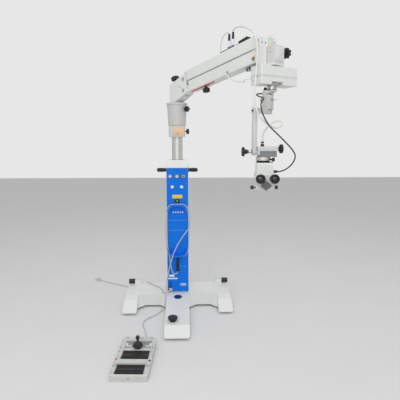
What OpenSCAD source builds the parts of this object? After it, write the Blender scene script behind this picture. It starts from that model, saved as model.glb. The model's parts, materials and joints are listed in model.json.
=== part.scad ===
// Surgical microscope on a floor stand, with its foot switch.
// The column stands over the origin, the floor is Z = 0, the front leg points to -Y.

/* [Base] */
// Width of the base over both side legs
base_w = 788; // [760:1:820]
// Height of the top of the base above the floor
base_top = 97; // [95:1:102]
// Gap between the floor and the base cover
floor_gap = 15; // [12:1:17]
// Distance from the mast axis to the front edge of the crossbar
cross_front = 134; // [126:1:140]
// Distance from the mast axis to the rear edge of the crossbar
cross_rear = 132; // [128:1:140]
// Width of each side leg
leg_w = 102; // [100:1:112]
// Distance from the mast axis to the toe of a side leg
leg_reach = 282; // [272:1:300]
// Length of the steep toe of a side leg
leg_toe = 82; // [70:1:84]
// Height of a side leg where its toe begins
leg_toe_h = 80; // [78:1:86]
// Width of the long front leg
front_leg_w = 160; // [150:1:180]
// Distance from the mast axis to the toe of the front leg
front_leg_reach = 665; // [640:1:700]
// Length of the steep toe of the front leg
front_leg_toe = 73; // [60:1:80]
// Height of the front leg where its toe begins
front_leg_toe_h = 70; // [66:1:76]
// How far each side wall of the base leans in
base_draft = 8; // [4:1:10]
// Rounding of the base corners seen from above
base_corner = 16; // [8:1:20]

/* [Casters and brakes] */
// Diameter of a caster wheel
wheel_d = 48; // [44:1:50]
// Width of a caster wheel
wheel_w = 22; // [18:1:24]
// Trail of a caster, from swivel axis to axle
caster_trail = 16; // [12:1:17]
// Height of the top of the caster fork plate
fork_top = 64; // [62:1:66]
// Diameter of the caster stem
stem_d = 12; // [10:1:14]
// Length of the caster stem above its plate
stem_h = 14; // [10:1:16]
// Distance from the mast axis to the rear casters
caster_rear = 75; // [70:1:82]
// Distance from the mast axis to the front casters
caster_front = 150; // [142:1:152]
// Width of the brake block on the rear edge
brake_block_w = 56; // [48:1:60]
// Width of the brake lever
brake_lever_w = 48; // [36:1:50]
// Height of the brake lever axis above the base
brake_axis_h = 16; // [14:1:18]
// Diameter of the brake lever pin
brake_pin_d = 8; // [6:1:9]
// Distance from the toe of the front leg to the parking foot
parking_inset = 125; // [110:1:140]
// Distance of the parking foot from the middle of the front leg
parking_side = -28; // [-34:1:0]
// Diameter of the parking foot pad
parking_pad_d = 50; // [44:1:56]
// Diameter of the parking knob
parking_knob_d = 61; // [50:1:66]
// Diameter of the parking spindle
parking_spindle_d = 14; // [12:1:16]

/* [Column] */
// Width of the column
column_w = 160; // [150:1:170]
// Depth of the column behind its panel
column_d = 154; // [140:1:160]
// Height of the top of the column above the floor
column_top = 1028; // [1000:1:1060]
// Thickness of the blue front panel
panel_t = 6; // [4:1:8]
// Height of the cap on the column
cap_h = 58; // [50:1:66]
// Width of the cap at its foot
cap_w = 168; // [164:1:176]
// How far each side of the cap leans in
cap_draft = 8; // [5:1:10]
// Diameter of the mast tube
mast_d = 79; // [74:1:82]
// Wall of the mast tube
mast_wall = 6; // [4:1:8]
// Height of the top of the mast tube above the floor
mast_top = 1330; // [1322:1:1340]
// Diameter of a push handle
handle_d = 29; // [25:1:32]
// Length of a push handle outside the column
handle_len = 70; // [60:1:76]
// Width of a cable hook
hook_w = 132; // [124:1:136]
// Height of the top of the upper cable hook above the floor
hook_top = 757; // [745:1:770]
// Height of the bottom of the lower cable hook above the floor
hook_bottom = 381; // [370:1:392]

/* [Carrier] */
// Width of the stop collar on the mast
collar_w = 119; // [110:1:126]
// Height of the stop collar
collar_h = 80; // [70:1:84]
// Height of the underside of the stop collar above the floor
collar_bottom = 1251; // [1240:1:1256]
// Height of the carrier cup
cup_h = 162; // [158:1:170]
// Diameter of the cup at its foot
cup_low_d = 128; // [122:1:134]
// Diameter of the cup under its lip
cup_high_d = 144; // [138:1:148]
// Diameter of the elbow spindle in the cup
spindle_d = 40; // [34:1:46]
// Length of the elbow spindle in the cup
spindle_len = 37; // [30:1:38]

/* [Arm] */
// Direction of the arm seen from above, from +X
arm_azimuth = -50; // [-60:1:-40]
// Rise of the arm above level
arm_rise = 10.3; // [8:0.1:12]
// Length of the links between their pins
link_len = 644; // [620:1:660]
// Height between the two pins at each end
pin_gap = 76; // [74:1:78]
// Distance from the mast axis to the elbow pins
pin_r = 117; // [112:1:122]
// Height of the lower elbow pin above the elbow foot
pin_rise = 71; // [68:1:74]
// Diameter of the link pins
pin_d = 16; // [14:1:18]
// Width of the arm
arm_w = 76; // [72:1:80]
// Height of the upper cover above its pins
upper_above = 49; // [46:1:50]
// Depth of the upper cover below its pins
upper_below = 20.5; // [19:0.1:20.5]
// Height of the lower cover above its pins
lower_above = 48; // [46:0.1:48]
// Depth of the lower cover below its pins
lower_below = 23; // [22:1:26]
// Distance from the head pins to the axis of the head
head_offset = 106.4; // [102:0.1:110]

/* [Lamp and slide unit] */
// Length of the lamp housing along the arm
lamp_l = 58; // [52:1:60]
// Width of the lamp housing across the arm
lamp_w = 94; // [86:1:100]
// Height of the lamp housing
lamp_h = 96; // [88:1:104]
// Length of the slide unit along the arm
xy_l = 100; // [94:1:100]
// Width of the slide unit across the arm
xy_w = 256; // [240:1:262]
// Height of each half of the slide unit
xy_half_h = 50; // [46:1:52]
// Diameter of the flange under the slide unit
flange_d = 53; // [48:1:56]

/* [Hanger] */
// Turn of the slide unit from the arm, seen from above
unit_turn = -13; // [-18:1:-8]
// Direction of the hanger arm seen from above, from +X
hanger_azimuth = -130; // [-136:1:-124]
// Distance from the head axis to the hanger bar
hanger_reach = 186; // [180:1:196]
// Width of the hanger bar
bar_w = 24; // [20:1:26]
// Depth of the hanger bar
bar_d = 40; // [36:1:44]
// Drop from the head flange to the tilt axis
bar_drop = 346; // [335:1:360]

/* [Microscope] */
// Width of the focusing block
block_w = 108; // [100:1:114]
// Height of the fixed half of the focusing block
block_h = 25; // [22:1:28]
// Depth of the focusing block
block_d = 90; // [84:1:96]
// Width of the microscope body
scope_w = 88; // [82:1:92]
// Height of the microscope body
scope_h = 145; // [138:1:150]
// Length of the microscope body along its optical axis
scope_l = 125; // [118:1:132]
// Distance from the tilt axis to the rear of the microscope body
scope_behind = 65; // [60:1:70]
// Distance between the two eyepieces
eye_spacing = 74; // [70:1:78]
// Diameter of an eyepiece cup
eyecup_d = 49; // [44:1:50]
// Length of an eyepiece behind its prism case
eyepiece_l = 50; // [46:1:56]
// Diameter of the focusing knob and of the tilt knob
side_knob_d = 52; // [46:1:54]

/* [Foot switch] */
// Width of the foot switch
pedal_w = 200; // [190:1:210]
// Length of the foot switch
pedal_l = 376; // [366:1:390]
// Height of the foot switch at its rear
pedal_rear_h = 54; // [50:1:58]
// Height of the foot switch at its front
pedal_front_h = 36; // [34:1:40]
// Turn of the foot switch on the floor
pedal_turn = -3.2; // [-6:0.1:0]
// Height of the joystick ball above the floor
joystick_h = 122; // [115:1:128]

/* [Cords] */
// Diameter of the light guide
guide_d = 10; // [8:1:12]
// Diameter of the camera cable
camera_d = 7; // [6:0.5:8]
// Diameter of the thin cable under the arm
loop_d = 6; // [5:0.5:7]
// Diameter of the foot switch cable
foot_d = 7; // [6:0.5:8]
// Diameter of the mains cord
mains_d = 7; // [6:0.5:8]

/* [Clearances] */
// Radial clearance of a running fit
run_gap = 0.05; // [0.03:0.01:0.09]
// Gap between faces that move past each other
face_gap = 0.4; // [0.35:0.01:0.6]

/* [Hidden] */
$fn = 48;

// overrun of every cut
cut = 1;
// thickness of the thrust ring under the elbow and over the head spindle
thrust_t = 6;
// depth of the head plate under the lower head pin
head_drop = 45;
// steps of a rounded corner
corner_steps = 5;

// front face of the blue panel
panel_y = -column_d / 2 - panel_t;
// foot of the elbow, just over the cup
elbow_z = collar_bottom + collar_h + cup_h + thrust_t;
// height of the lower elbow pin
pin_z = elbow_z + pin_rise;
// place of the lower head pin in the plane of the arm
head_pin_r = pin_r + link_len * cos(arm_rise);
head_pin_z = pin_z + link_len * sin(arm_rise);
// reach of the arm to the head axis
arm_reach = head_pin_r + head_offset;
head_x = arm_reach * cos(arm_azimuth);
head_y = arm_reach * sin(arm_azimuth);
// radius of the elbow cheeks and of the link tongues round their pins
cheek_r = 30;
tongue_r = 26;
// width of the tongues
tongue_w = arm_w * 0.65;
// thickness of the plate that carries the head
head_plate_t = 10;
lamp_z = head_pin_z - head_drop;
swivel_t = 5;
xy_z = lamp_z - head_plate_t - swivel_t;
flange_z = xy_z - 2 * xy_half_h;
// flange under the slides, and the pin under the flange
flange_h = 24;
pivot_d = 20;
pivot_h = 28;
spindle2_d = 30;
// travel of the slides to each side
xy_travel = 20;
hub_top = flange_z - flange_h;
bar_x = head_x + hanger_reach * cos(hanger_azimuth);
bar_y = head_y + hanger_reach * sin(hanger_azimuth);
tilt_z = hub_top - bar_drop;
// sizes of the hanger
hub_h = 60;
hub_d = 56;
hanger_arm_h = 24;
hanger_block_h = 98;
hanger_arm_z = hub_top - hub_h - hanger_block_h * 0.775;
// sizes of the focusing block
cheek_t = 10;
trunnion_d = 16;
block_x = bar_x + bar_w / 2 + swivel_t * 0.4;
block_z = tilt_z + swivel_t * 0.6;
carriage_h = 31;
ring_d = 77;
ring_h = 20;
neck_h = 11;
scope_x = bar_x + block_w * 0.463;
scope_top = block_z - carriage_h - ring_h - neck_h;
scope_rear = bar_y - scope_behind;
// sizes of the binocular tube
binocular_t = 20;
prism_r = 30;
prism_x = 31;
prism_t = 12;
prism_z = scope_top - scope_h * 0.66;
eye_z = prism_z + 16;
eye_y = scope_rear - binocular_t - prism_t;
// foot switch frame
pedal_x = -230;
pedal_y = -898;
stick_x = 8;
stick_y = 66;

// a closed outline with rounded corners
function soft_corners(p, r, n = corner_steps) = [for (i = [0 : len(p) - 1])
  let (a = p[(i + len(p) - 1) % len(p)], b = p[i], c = p[(i + 1) % len(p)],
    u = (a - b) / norm(a - b), v = (c - b) / norm(c - b))
  for (k = [0 : n]) let (s = k / n)
    (1 - s) * (1 - s) * (b + u * r) + 2 * s * (1 - s) * b + s * s * (b + v * r)];
// a centred rectangle
function rect(w, h) = [[-w / 2, -h / 2], [w / 2, -h / 2], [w / 2, h / 2], [-w / 2, h / 2]];
// points of an arc
function arc(c, r, a0, a1, n) = [for (k = [0 : n]) let (a = a0 + (a1 - a0) * k / n)
  c + r * [cos(a), sin(a)]];

// a rounded box, upright, centred in plan
module rounded_box(w, d, h, r) {
  linear_extrude(h) polygon(soft_corners(rect(w, d), r));
}
// an outline of Y and Z points, carried along X
module side_profile(x0, w, p) {
  translate([x0, 0, 0]) rotate([90, 0, 90]) linear_extrude(w) polygon(p);
}
// an outline of X and Z points, carried along Y
module front_profile(y0, d, p) {
  translate([0, y0 + d, 0]) rotate([90, 0, 0]) linear_extrude(d) polygon(p);
}
module rod_x(x0, len, d) {
  translate([x0, 0, 0]) rotate([0, 90, 0]) cylinder(h = len, d = d);
}
module rod_y(y0, len, d) {
  translate([0, y0 + len, 0]) rotate([90, 0, 0]) cylinder(h = len, d = d);
}
module at_arm() {
  rotate([0, 0, arm_azimuth]) children();
}
module at_lower_pin() {
  at_arm() translate([pin_r, 0, pin_z]) rotate([0, -arm_rise, 0]) children();
}
module at_upper_pin() {
  at_arm() translate([pin_r, 0, pin_z + pin_gap]) rotate([0, -arm_rise, 0]) children();
}
module at_head() {
  at_arm() translate([arm_reach, 0, 0]) children();
}
module at_unit() {
  at_head() rotate([0, 0, unit_turn]) children();
}
module at_hanger() {
  translate([head_x, head_y, 0]) rotate([0, 0, hanger_azimuth]) children();
}
module at_tilt() {
  translate([0, bar_y, tilt_z]) children();
}
module at_pedal() {
  translate([pedal_x, pedal_y, 0]) rotate([0, 0, pedal_turn]) children();
}
// a hand knob with grip scallops, on +Z, its underside at 0
module star_knob(d, h, lobes = 6) {
  difference() {
    union() {
      cylinder(h = h, d = d);
      translate([0, 0, h]) cylinder(h = h * 0.15, d1 = d * 0.8, d2 = d * 0.6);
    }
    for (i = [0 : lobes - 1])
      rotate([0, 0, i * 360 / lobes])
        translate([d * 0.58, 0, -cut]) cylinder(h = h * 1.2 + 2 * cut, d = d * 0.34);
  }
}

// base
module base_outline() {
  w = base_w / 2;
  f = front_leg_w / 2;
  polygon(soft_corners([[w, cross_rear], [-w, cross_rear], [-w, -leg_reach],
    [leg_w - w, -leg_reach], [leg_w - w, -cross_front], [-f, -cross_front],
    [-f, -front_leg_reach], [f, -front_leg_reach], [f, -cross_front],
    [w - leg_w, -cross_front], [w - leg_w, -leg_reach], [w, -leg_reach]], base_corner));
}
// the parking foot, seen from the mast axis
parking_reach = front_leg_reach - parking_inset;
// facets that fill the inner corners of the base at its foot
facet_w = 55;
facet_in = 10;
facet_drop = 4;
module corner_facet(x, turn) {
  d = facet_w / sqrt(2);
  l = d + facet_in;
  translate([x, -cross_front, 0]) rotate([0, 0, turn]) front_profile(-l, 2 * l,
    [[-facet_in, floor_gap + cut], [d, floor_gap + cut], [0, base_top - facet_drop],
    [-facet_in, base_top - facet_drop]]);
}
// places of the four casters: side and distance behind the mast axis
// room above the lip of a toe
toe_lip = 5;
caster_x = base_w / 2 - leg_w / 2 - toe_lip * 0.6;
pocket_r = leg_w / 2 - toe_lip * 1.4;
module toe_cut(x0, w, toe_h, reach, toe) {
  side_profile(x0, w, [[-cross_front, base_top], [-reach + toe, toe_h],
    [-reach, floor_gap + toe_lip], [-reach - toe, floor_gap + toe_lip],
    [-reach - toe, base_top + toe], [-cross_front, base_top + toe]]);
}
brake_z = base_top + brake_axis_h;
brake_y = cross_rear - brake_block_w * 0.464;
lever_x = base_w / 2 - brake_lever_w - toe_lip * 0.4;
module base_casting() {
  w = base_w / 2;
  color("white") difference() {
    union() {
      intersection() {
        translate([0, 0, floor_gap]) linear_extrude(base_top - floor_gap) base_outline();
        front_profile(-front_leg_reach - cut, front_leg_reach + cross_rear + 2 * cut,
          [[-w, floor_gap], [w, floor_gap], [w - base_draft, base_top],
          [base_draft - w, base_top]]);
      }
      for (s = [0, 1])
        mirror([s, 0, 0]) {
          corner_facet(front_leg_w / 2, -45);
          corner_facet(w - leg_w, -135);
        }
      for (s = [-1, 1])
        translate([s * (lever_x - brake_block_w / 2 - face_gap), brake_y, base_top])
          rounded_box(brake_block_w, brake_block_w * 0.6, brake_axis_h * 2.1, toe_lip);
    }
    for (s = [-1, 1]) {
      toe_cut(s * (w - leg_w / 2) - leg_w / 2 - base_corner, leg_w + 2 * base_corner,
        leg_toe_h, leg_reach, leg_toe);
      for (y = [caster_rear, -caster_front])
        translate([s * caster_x, y, 0]) {
          cylinder(h = fork_top + face_gap, r = pocket_r);
          cylinder(h = fork_top + stem_h + cut, d = stem_d + 2 * run_gap);
        }
      translate([s * lever_x, brake_y, brake_z]) rotate([0, 90, 0])
        cylinder(h = brake_lever_w * 0.7, d = brake_pin_d + 2 * run_gap, center = true);
    }
    toe_cut(-front_leg_w, 2 * front_leg_w, front_leg_toe_h, front_leg_reach, front_leg_toe);
    translate([parking_side, -parking_reach, 0]) {
      cylinder(h = base_top + cut, d = parking_spindle_d + 2 * run_gap);
      cylinder(h = floor_gap * 1.9, d = parking_pad_d * 1.1);
    }
  }
}
// the caster: swivel stem, plate, two cheeks and the axle
fork_plate_t = 6;
fork_cheek_t = 3.5;
axle_d = 8;
module caster_fork(x, y) {
  half = wheel_w / 2 + face_gap;
  color("dimgray") translate([x, y, 0]) {
    translate([0, 0, fork_top - cut]) cylinder(h = stem_h + cut, d = stem_d);
    intersection() {
      union() {
        translate([0, 0, fork_top - fork_plate_t]) cylinder(h = fork_plate_t, d = wheel_d);
        for (s = [-1, 1])
          side_profile(s * (half + fork_cheek_t / 2) - fork_cheek_t / 2, fork_cheek_t,
            [[-stem_d, fork_top - cut], [stem_d * 1.3, fork_top - cut],
            [caster_trail + axle_d, wheel_d / 2], [caster_trail + axle_d * 0.6, wheel_d * 0.3],
            [caster_trail - axle_d * 0.6, wheel_d * 0.3], [caster_trail - axle_d, wheel_d / 2]]);
      }
      cylinder(h = fork_top, r = pocket_r - face_gap);
    }
    translate([0, caster_trail, wheel_d / 2]) rod_x(-half - fork_cheek_t, 2 * (half + fork_cheek_t),
      axle_d);
  }
}
module caster_wheel(x, y) {
  r = wheel_d / 2;
  color("gray") translate([x, y + caster_trail, r]) rotate([0, 90, 0])
    rotate_extrude() polygon([[axle_d / 2 + run_gap, -wheel_w / 2], [r * 0.62, -wheel_w / 2],
      [r * 0.7, -wheel_w * 0.42], [r * 0.9, -wheel_w * 0.42], [r * 0.97, -wheel_w * 0.3],
      [r, -wheel_w * 0.12], [r, wheel_w * 0.12], [r * 0.97, wheel_w * 0.3],
      [r * 0.9, wheel_w * 0.42], [r * 0.7, wheel_w * 0.42], [r * 0.62, wheel_w / 2],
      [axle_d / 2 + run_gap, wheel_w / 2]]);
}
module brake_lever(s) {
  h = brake_axis_h;
  color("black") translate([0, brake_y, brake_z]) {
    side_profile(s > 0 ? lever_x : -lever_x - brake_lever_w, brake_lever_w,
      soft_corners([[-h * 0.7, -h * 0.6], [h * 0.7, -h * 0.6], [h * 1.1, h * 1.2],
        [h * 0.5, h * 1.5], [-h * 0.6, h * 0.6]], h * 0.2));
    rod_x(s > 0 ? lever_x - brake_lever_w * 0.3 : -lever_x - cut, brake_lever_w * 0.3 + cut,
      brake_pin_d);
  }
}
module parking_foot() {
  h = base_top * 0.84;
  color("black") translate([parking_side, -parking_reach, 0]) {
    rotate_extrude() polygon([[0, 0], [parking_pad_d * 0.46, 0], [parking_pad_d / 2, toe_lip * 0.4],
      [parking_pad_d / 2, toe_lip], [parking_spindle_d * 0.8, toe_lip * 2], [0, toe_lip * 2]]);
    cylinder(h = h + toe_lip, d = parking_spindle_d);
    translate([0, 0, h]) rotate_extrude() polygon([[0, 0], [parking_knob_d * 0.35, 0],
      [parking_knob_d * 0.35, toe_lip], [parking_knob_d * 0.47, toe_lip * 1.2],
      [parking_knob_d / 2, toe_lip * 2.4], [parking_knob_d / 2, toe_lip * 3.6],
      [parking_knob_d * 0.44, toe_lip * 4.6], [parking_knob_d * 0.25, toe_lip * 5.2],
      [0, toe_lip * 5.3]]);
  }
}

// column
module column_shell() {
  color("whitesmoke") translate([0, 0, base_top])
    rounded_box(column_w, column_d, column_top - base_top, handle_d * 0.4);
}
// places on the panel, in shares of its width and of its height
knob_row_share = 0.937;
button_row_share = 0.854;
panel_knob_d = 26;
knob_places_share = [-0.335, -0.017];
socket_place_share = 0.287;
// bare raised plates and squares: place, then size, as shares of the panel
plate_shares = [[-0.005, 0.777, 0.48, 0.03], [-0.30, 0.132, 0.26, 0.02],
  [-0.25, 0.109, 0.46, 0.012], [0.25, 0.058, 0.28, 0.025], [-0.2, 0.652, 0.06, 0.012],
  [-0.09, 0.652, 0.06, 0.012], [0.02, 0.652, 0.06, 0.012], [0.13, 0.652, 0.06, 0.012],
  [0.24, 0.652, 0.06, 0.012]];
// margin of the panel on each side of the column
panel_margin = 2;
panel_foot = panel_margin * 1.5;
panel_w = column_w - 2 * panel_margin;
panel_h = column_top - base_top - panel_foot - panel_margin;
module on_panel(x_share, z_share) {
  translate([panel_w * x_share, panel_y, base_top + panel_foot + panel_h * z_share]) children();
}
// a cable hook: a bent strip that stands out of the panel, with a lip
hook_t = 5;
hook_d = 37;
hook_side = 46;
hook_corner = 60;
hook_lip = 9;
module hook_outline(grown) {
  intersection() {
    translate([0, -hook_w]) polygon(soft_corners(rect(hook_w + 2 * grown, 2 * (hook_w + grown)),
      hook_corner + grown));
    translate([-hook_w, -hook_side]) square([2 * hook_w, 2 * hook_side]);
  }
}
module cable_hook() {
  rotate([90, 0, 0]) {
    translate([0, 0, -cut]) linear_extrude(hook_d + cut) difference() {
      hook_outline(0);
      hook_outline(-hook_t);
    }
    translate([0, 0, hook_d - hook_t / 2]) linear_extrude(hook_t / 2) difference() {
      hook_outline(hook_lip);
      hook_outline(-hook_t);
    }
  }
}
module column_panel() {
  color("dodgerblue") difference() {
    union() {
      translate([0, -column_d / 2, base_top + panel_foot + panel_h / 2]) rotate([90, 0, 0])
        rounded_box(panel_w, panel_h, panel_t, panel_t);
      for (p = plate_shares)
        on_panel(p[0], p[1]) rotate([90, 0, 0])
          rounded_box(panel_w * p[2], panel_h * p[3], panel_t * 0.2, panel_t * 0.2);
      for (x = [-0.24, 0.2])
        on_panel(x, button_row_share) rotate([90, 0, 0]) cylinder(h = panel_t, d = panel_knob_d * 0.8);
      translate([0, panel_y, hook_top]) cable_hook();
      translate([0, panel_y, hook_bottom]) mirror([0, 0, 1]) cable_hook();
    }
    for (x = knob_places_share)
      on_panel(x, knob_row_share)
        rod_y(-cut, panel_t * 0.8 + cut, panel_knob_d / 4 + 2 * run_gap);
  }
}
module panel_knob(i) {
  color("beige") on_panel(knob_places_share[i], knob_row_share) {
    translate([0, -face_gap, 0]) rotate([90, 0, 0]) {
      cylinder(h = panel_knob_d * 0.2, d = panel_knob_d);
      cylinder(h = panel_knob_d * 0.6, d1 = panel_knob_d * 0.8, d2 = panel_knob_d * 0.7);
    }
    rod_y(-face_gap - cut, face_gap + cut + panel_t * 0.7, panel_knob_d / 4);
  }
}
module panel_ring(d, bore, h) {
  rotate([90, 0, 0]) rotate_extrude() polygon([[bore / 2, h * 0.3], [bore / 2, h],
    [d * 0.44, h], [d / 2, h * 0.7], [d / 2, 0], [0, 0], [0, h * 0.3]]);
}
inlet_share = [-0.36, 0.018];
connector_share = [-0.012, 0.23];
connector_w = 19;
connector_h = 104;
module panel_sockets() {
  color("black") {
    on_panel(socket_place_share, knob_row_share) panel_ring(panel_knob_d * 1.1, panel_knob_d * 0.5,
      panel_t * 2);
    on_panel(-0.012, 0.741) rotate([90, 0, 0])
      rounded_box(panel_knob_d * 1.4, panel_knob_d, panel_t, panel_knob_d * 0.45);
    on_panel(connector_share[0], connector_share[1]) rotate([90, 0, 0])
      rounded_box(connector_w, connector_h, connector_w, connector_w * 0.2);
    for (z = [0.07, 0.047])
      on_panel(-0.36, z) panel_ring(panel_knob_d * 0.55, panel_knob_d * 0.2, panel_t);
    on_panel(inlet_share[0], inlet_share[1]) panel_ring(panel_knob_d * 1.2, mains_d * 1.8, panel_t * 1.5);
  }
}
module column_hardware() {
  color("black") {
    for (s = [0, 1])
      mirror([s, 0, 0]) translate([column_w / 2, -column_d * 0.1, column_top - handle_d * 0.6])
        rotate([0, 90, 0]) rotate_extrude() polygon([[0, 0], [handle_d * 0.55, 0],
          [handle_d * 0.55, handle_d * 0.15], [handle_d * 0.4, handle_d * 0.3],
          [handle_d / 2, handle_d * 0.7], [handle_d / 2, handle_len - handle_d * 0.4],
          [handle_d * 0.44, handle_len - handle_d * 0.12], [handle_d * 0.3, handle_len], [0, handle_len]]);
  }
}
module column_cap() {
  w = cap_w / 2;
  t = w - cap_draft;
  color("white") translate([0, 0, column_top]) difference() {
    intersection() {
      rounded_box(cap_w, cap_w, cap_h, cap_draft * 2);
      front_profile(-w - cut, cap_w + 2 * cut, [[-w, 0], [w, 0], [w, cap_h * 0.15], [t, cap_h * 0.92],
        [t - cap_h * 0.08, cap_h], [cap_h * 0.08 - t, cap_h], [-t, cap_h * 0.92], [-w, cap_h * 0.15]]);
      side_profile(-w - cut, cap_w + 2 * cut, [[-w, 0], [w, 0], [w, cap_h * 0.15], [t, cap_h * 0.92],
        [t - cap_h * 0.08, cap_h], [cap_h * 0.08 - t, cap_h], [-t, cap_h * 0.92], [-w, cap_h * 0.15]]);
    }
    translate([0, 0, -cut]) cylinder(h = cap_h + 2 * cut, d = mast_d);
  }
}
module mast_tube() {
  color("silver") translate([0, 0, column_top]) difference() {
    cylinder(h = mast_top - column_top, d = mast_d);
    translate([0, 0, mast_wall]) cylinder(h = mast_top - column_top, d = mast_d - 2 * mast_wall);
  }
}

// carrier on the mast
knob_stem_d = 10;
knob_stem_in = 12;
star_d = 40;
collar_mid = collar_bottom + collar_h / 2;
module mast_collar() {
  color("gainsboro") difference() {
    union() {
      translate([0, 0, collar_bottom]) rounded_box(collar_w, collar_w, collar_h, collar_w * 0.13);
      translate([collar_w * 0.1, -collar_w / 2, collar_mid]) rotate([90, 0, 0])
        rounded_box(collar_w * 0.64, collar_h * 0.8, panel_t * 0.2, panel_t * 0.5);
    }
    translate([0, 0, collar_bottom - cut]) cylinder(h = collar_h + 2 * cut, d = mast_d + 2 * run_gap);
    translate([-panel_t / 4, mast_d * 0.4, collar_bottom - cut])
      cube([panel_t / 2, collar_w, collar_h + 2 * cut]);
    translate([collar_w / 2 - knob_stem_in - face_gap, 0, collar_mid])
      rod_x(0, collar_w, knob_stem_d + 2 * run_gap);
  }
}
// turn of the cup knob seen from above
cup_knob_turn = -40;
cup_z = collar_bottom + collar_h;
cup_knob_z = cup_z + cup_h * 0.72;
cup_wall_r = cup_low_d / 2 + (cup_high_d - cup_low_d) * 0.36;
module carrier_cup() {
  r0 = cup_low_d / 2;
  r1 = cup_high_d / 2;
  lip = cup_h * 0.03;
  color("gainsboro") difference() {
    translate([0, 0, cup_z]) rotate_extrude()
      polygon([[mast_d / 2 + run_gap, 0], [r0 - lip, 0], [r0, lip], [r1, cup_h - 3 * lip],
        [r1 + lip, cup_h - 2.6 * lip], [r1 + lip, cup_h - lip / 2], [r1 + lip / 2, cup_h],
        [spindle_d / 2 + run_gap, cup_h], [spindle_d / 2 + run_gap, cup_h - spindle_len - lip],
        [mast_d / 2 + run_gap, cup_h - spindle_len - lip]]);
    translate([0, 0, cup_knob_z]) rotate([0, 0, cup_knob_turn])
      rod_x(cup_wall_r - knob_stem_in, cup_low_d, knob_stem_d + 2 * run_gap);
  }
}
module side_star(x, d, stem) {
  translate([x, 0, 0]) rotate([0, 90, 0]) star_knob(d, d * 0.45);
  rod_x(x - stem, stem + cut, knob_stem_d);
}
module collar_knob() {
  color("black") translate([0, 0, collar_mid])
    side_star(collar_w / 2 + knob_stem_d * 0.8, star_d, knob_stem_d * 0.8 + knob_stem_in * 0.9);
}
module cup_knob() {
  color("black") translate([0, 0, cup_knob_z]) rotate([0, 0, cup_knob_turn])
    side_star(cup_wall_r + knob_stem_d * 1.4, star_d, knob_stem_d * 1.4 + knob_stem_in * 0.8);
}

// elbow and links
// places of the elbow outline and its knob in the plane of the arm
elbow_back = 37;
elbow_front = 26;
elbow_shoulder = 120;
elbow_knob_share = 0.22;
elbow_slope = atan2(pin_rise + pin_gap + cheek_r - elbow_shoulder, pin_r + elbow_back);
slot_w = tongue_w + 2 * face_gap;
module elbow_fork() {
  c0 = [pin_r, pin_rise];
  c1 = [pin_r, pin_rise + pin_gap];
  color("white") at_arm() difference() {
    union() {
      translate([0, 0, elbow_z]) front_profile(-arm_w / 2, arm_w,
        concat([[elbow_front, 0], [-elbow_back + cut * 3, 0], [-elbow_back - cut, elbow_shoulder]],
          arc(c1, cheek_r, 90 + elbow_slope, 0, 10), arc(c0, cheek_r, 0, -50, 6)));
      translate([0, 0, elbow_z - thrust_t + face_gap]) cylinder(h = thrust_t, d = arm_w * 0.9);
      translate([0, 0, elbow_z - thrust_t - spindle_len + cut])
        cylinder(h = spindle_len + thrust_t, d = spindle_d);
    }
    translate([pin_r - cheek_r - face_gap, -slot_w / 2, elbow_z - cut])
      cube([cheek_r * 3, slot_w, pin_rise + pin_gap + 2 * cheek_r]);
    for (z = [pin_z, pin_z + pin_gap])
      translate([pin_r, 0, z]) rod_y(-arm_w, 2 * arm_w, pin_d);
    at_elbow_knob() translate([0, 0, -knob_stem_in]) cylinder(h = 2 * star_d,
      d = knob_stem_d + 2 * run_gap);
  }
}
module at_elbow_knob() {
  translate([-elbow_back + (pin_r + elbow_back) * elbow_knob_share, 0,
    elbow_z + elbow_shoulder + (pin_rise + pin_gap + cheek_r - elbow_shoulder) * elbow_knob_share])
    rotate([0, -elbow_slope, 0]) children();
}
module elbow_pins() {
  cap_t = pin_d * 0.2;
  color("silver") at_arm() for (z = [pin_z, pin_z + pin_gap])
    translate([pin_r, 0, z]) {
      rod_y(-arm_w / 2 - cap_t, arm_w + 2 * cap_t, pin_d);
      rod_y(-arm_w / 2 - cap_t, cap_t, pin_d * 1.5);
      rod_y(arm_w / 2, cap_t, pin_d * 1.5);
    }
}
module elbow_knob() {
  color("black") at_arm() at_elbow_knob() {
    translate([0, 0, star_d * 0.75]) star_knob(star_d * 1.5, star_d * 0.5, 8);
    translate([0, 0, -knob_stem_in * 0.8]) cylinder(h = star_d * 0.8 + knob_stem_in * 0.8, d = knob_stem_d);
  }
}
// a link: cover with rounded edges, tongue at the elbow, fork at the head
module link_body(start, start_top, end, below, above, slot_top) {
  mid = (above - below) / 2;
  difference() {
    union() {
      translate([start, 0, mid]) rotate([90, 0, 90])
        linear_extrude(end - start) polygon(soft_corners(rect(arm_w, above + below), arm_w * 0.09));
      translate([start_top, 0, (above + cheek_r) / 2]) rotate([90, 0, 90])
        linear_extrude(start - start_top + cut)
        polygon(soft_corners(rect(arm_w, above - cheek_r), arm_w * 0.09));
      rod_y(-tongue_w / 2, tongue_w, 2 * tongue_r);
      translate([0, -tongue_w / 2, -below * 0.8]) cube([start + cut, tongue_w, below * 0.8 + tongue_r]);
    }
    rod_y(-arm_w, 2 * arm_w, pin_d + 2 * run_gap);
    translate([link_len, 0, 0]) rod_y(-arm_w, 2 * arm_w, pin_d + 2 * run_gap);
    translate([link_len - 2 * tongue_r, -slot_w / 2, -2 * above])
      cube([4 * tongue_r, slot_w, 2 * above + slot_top]);
  }
}
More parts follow.
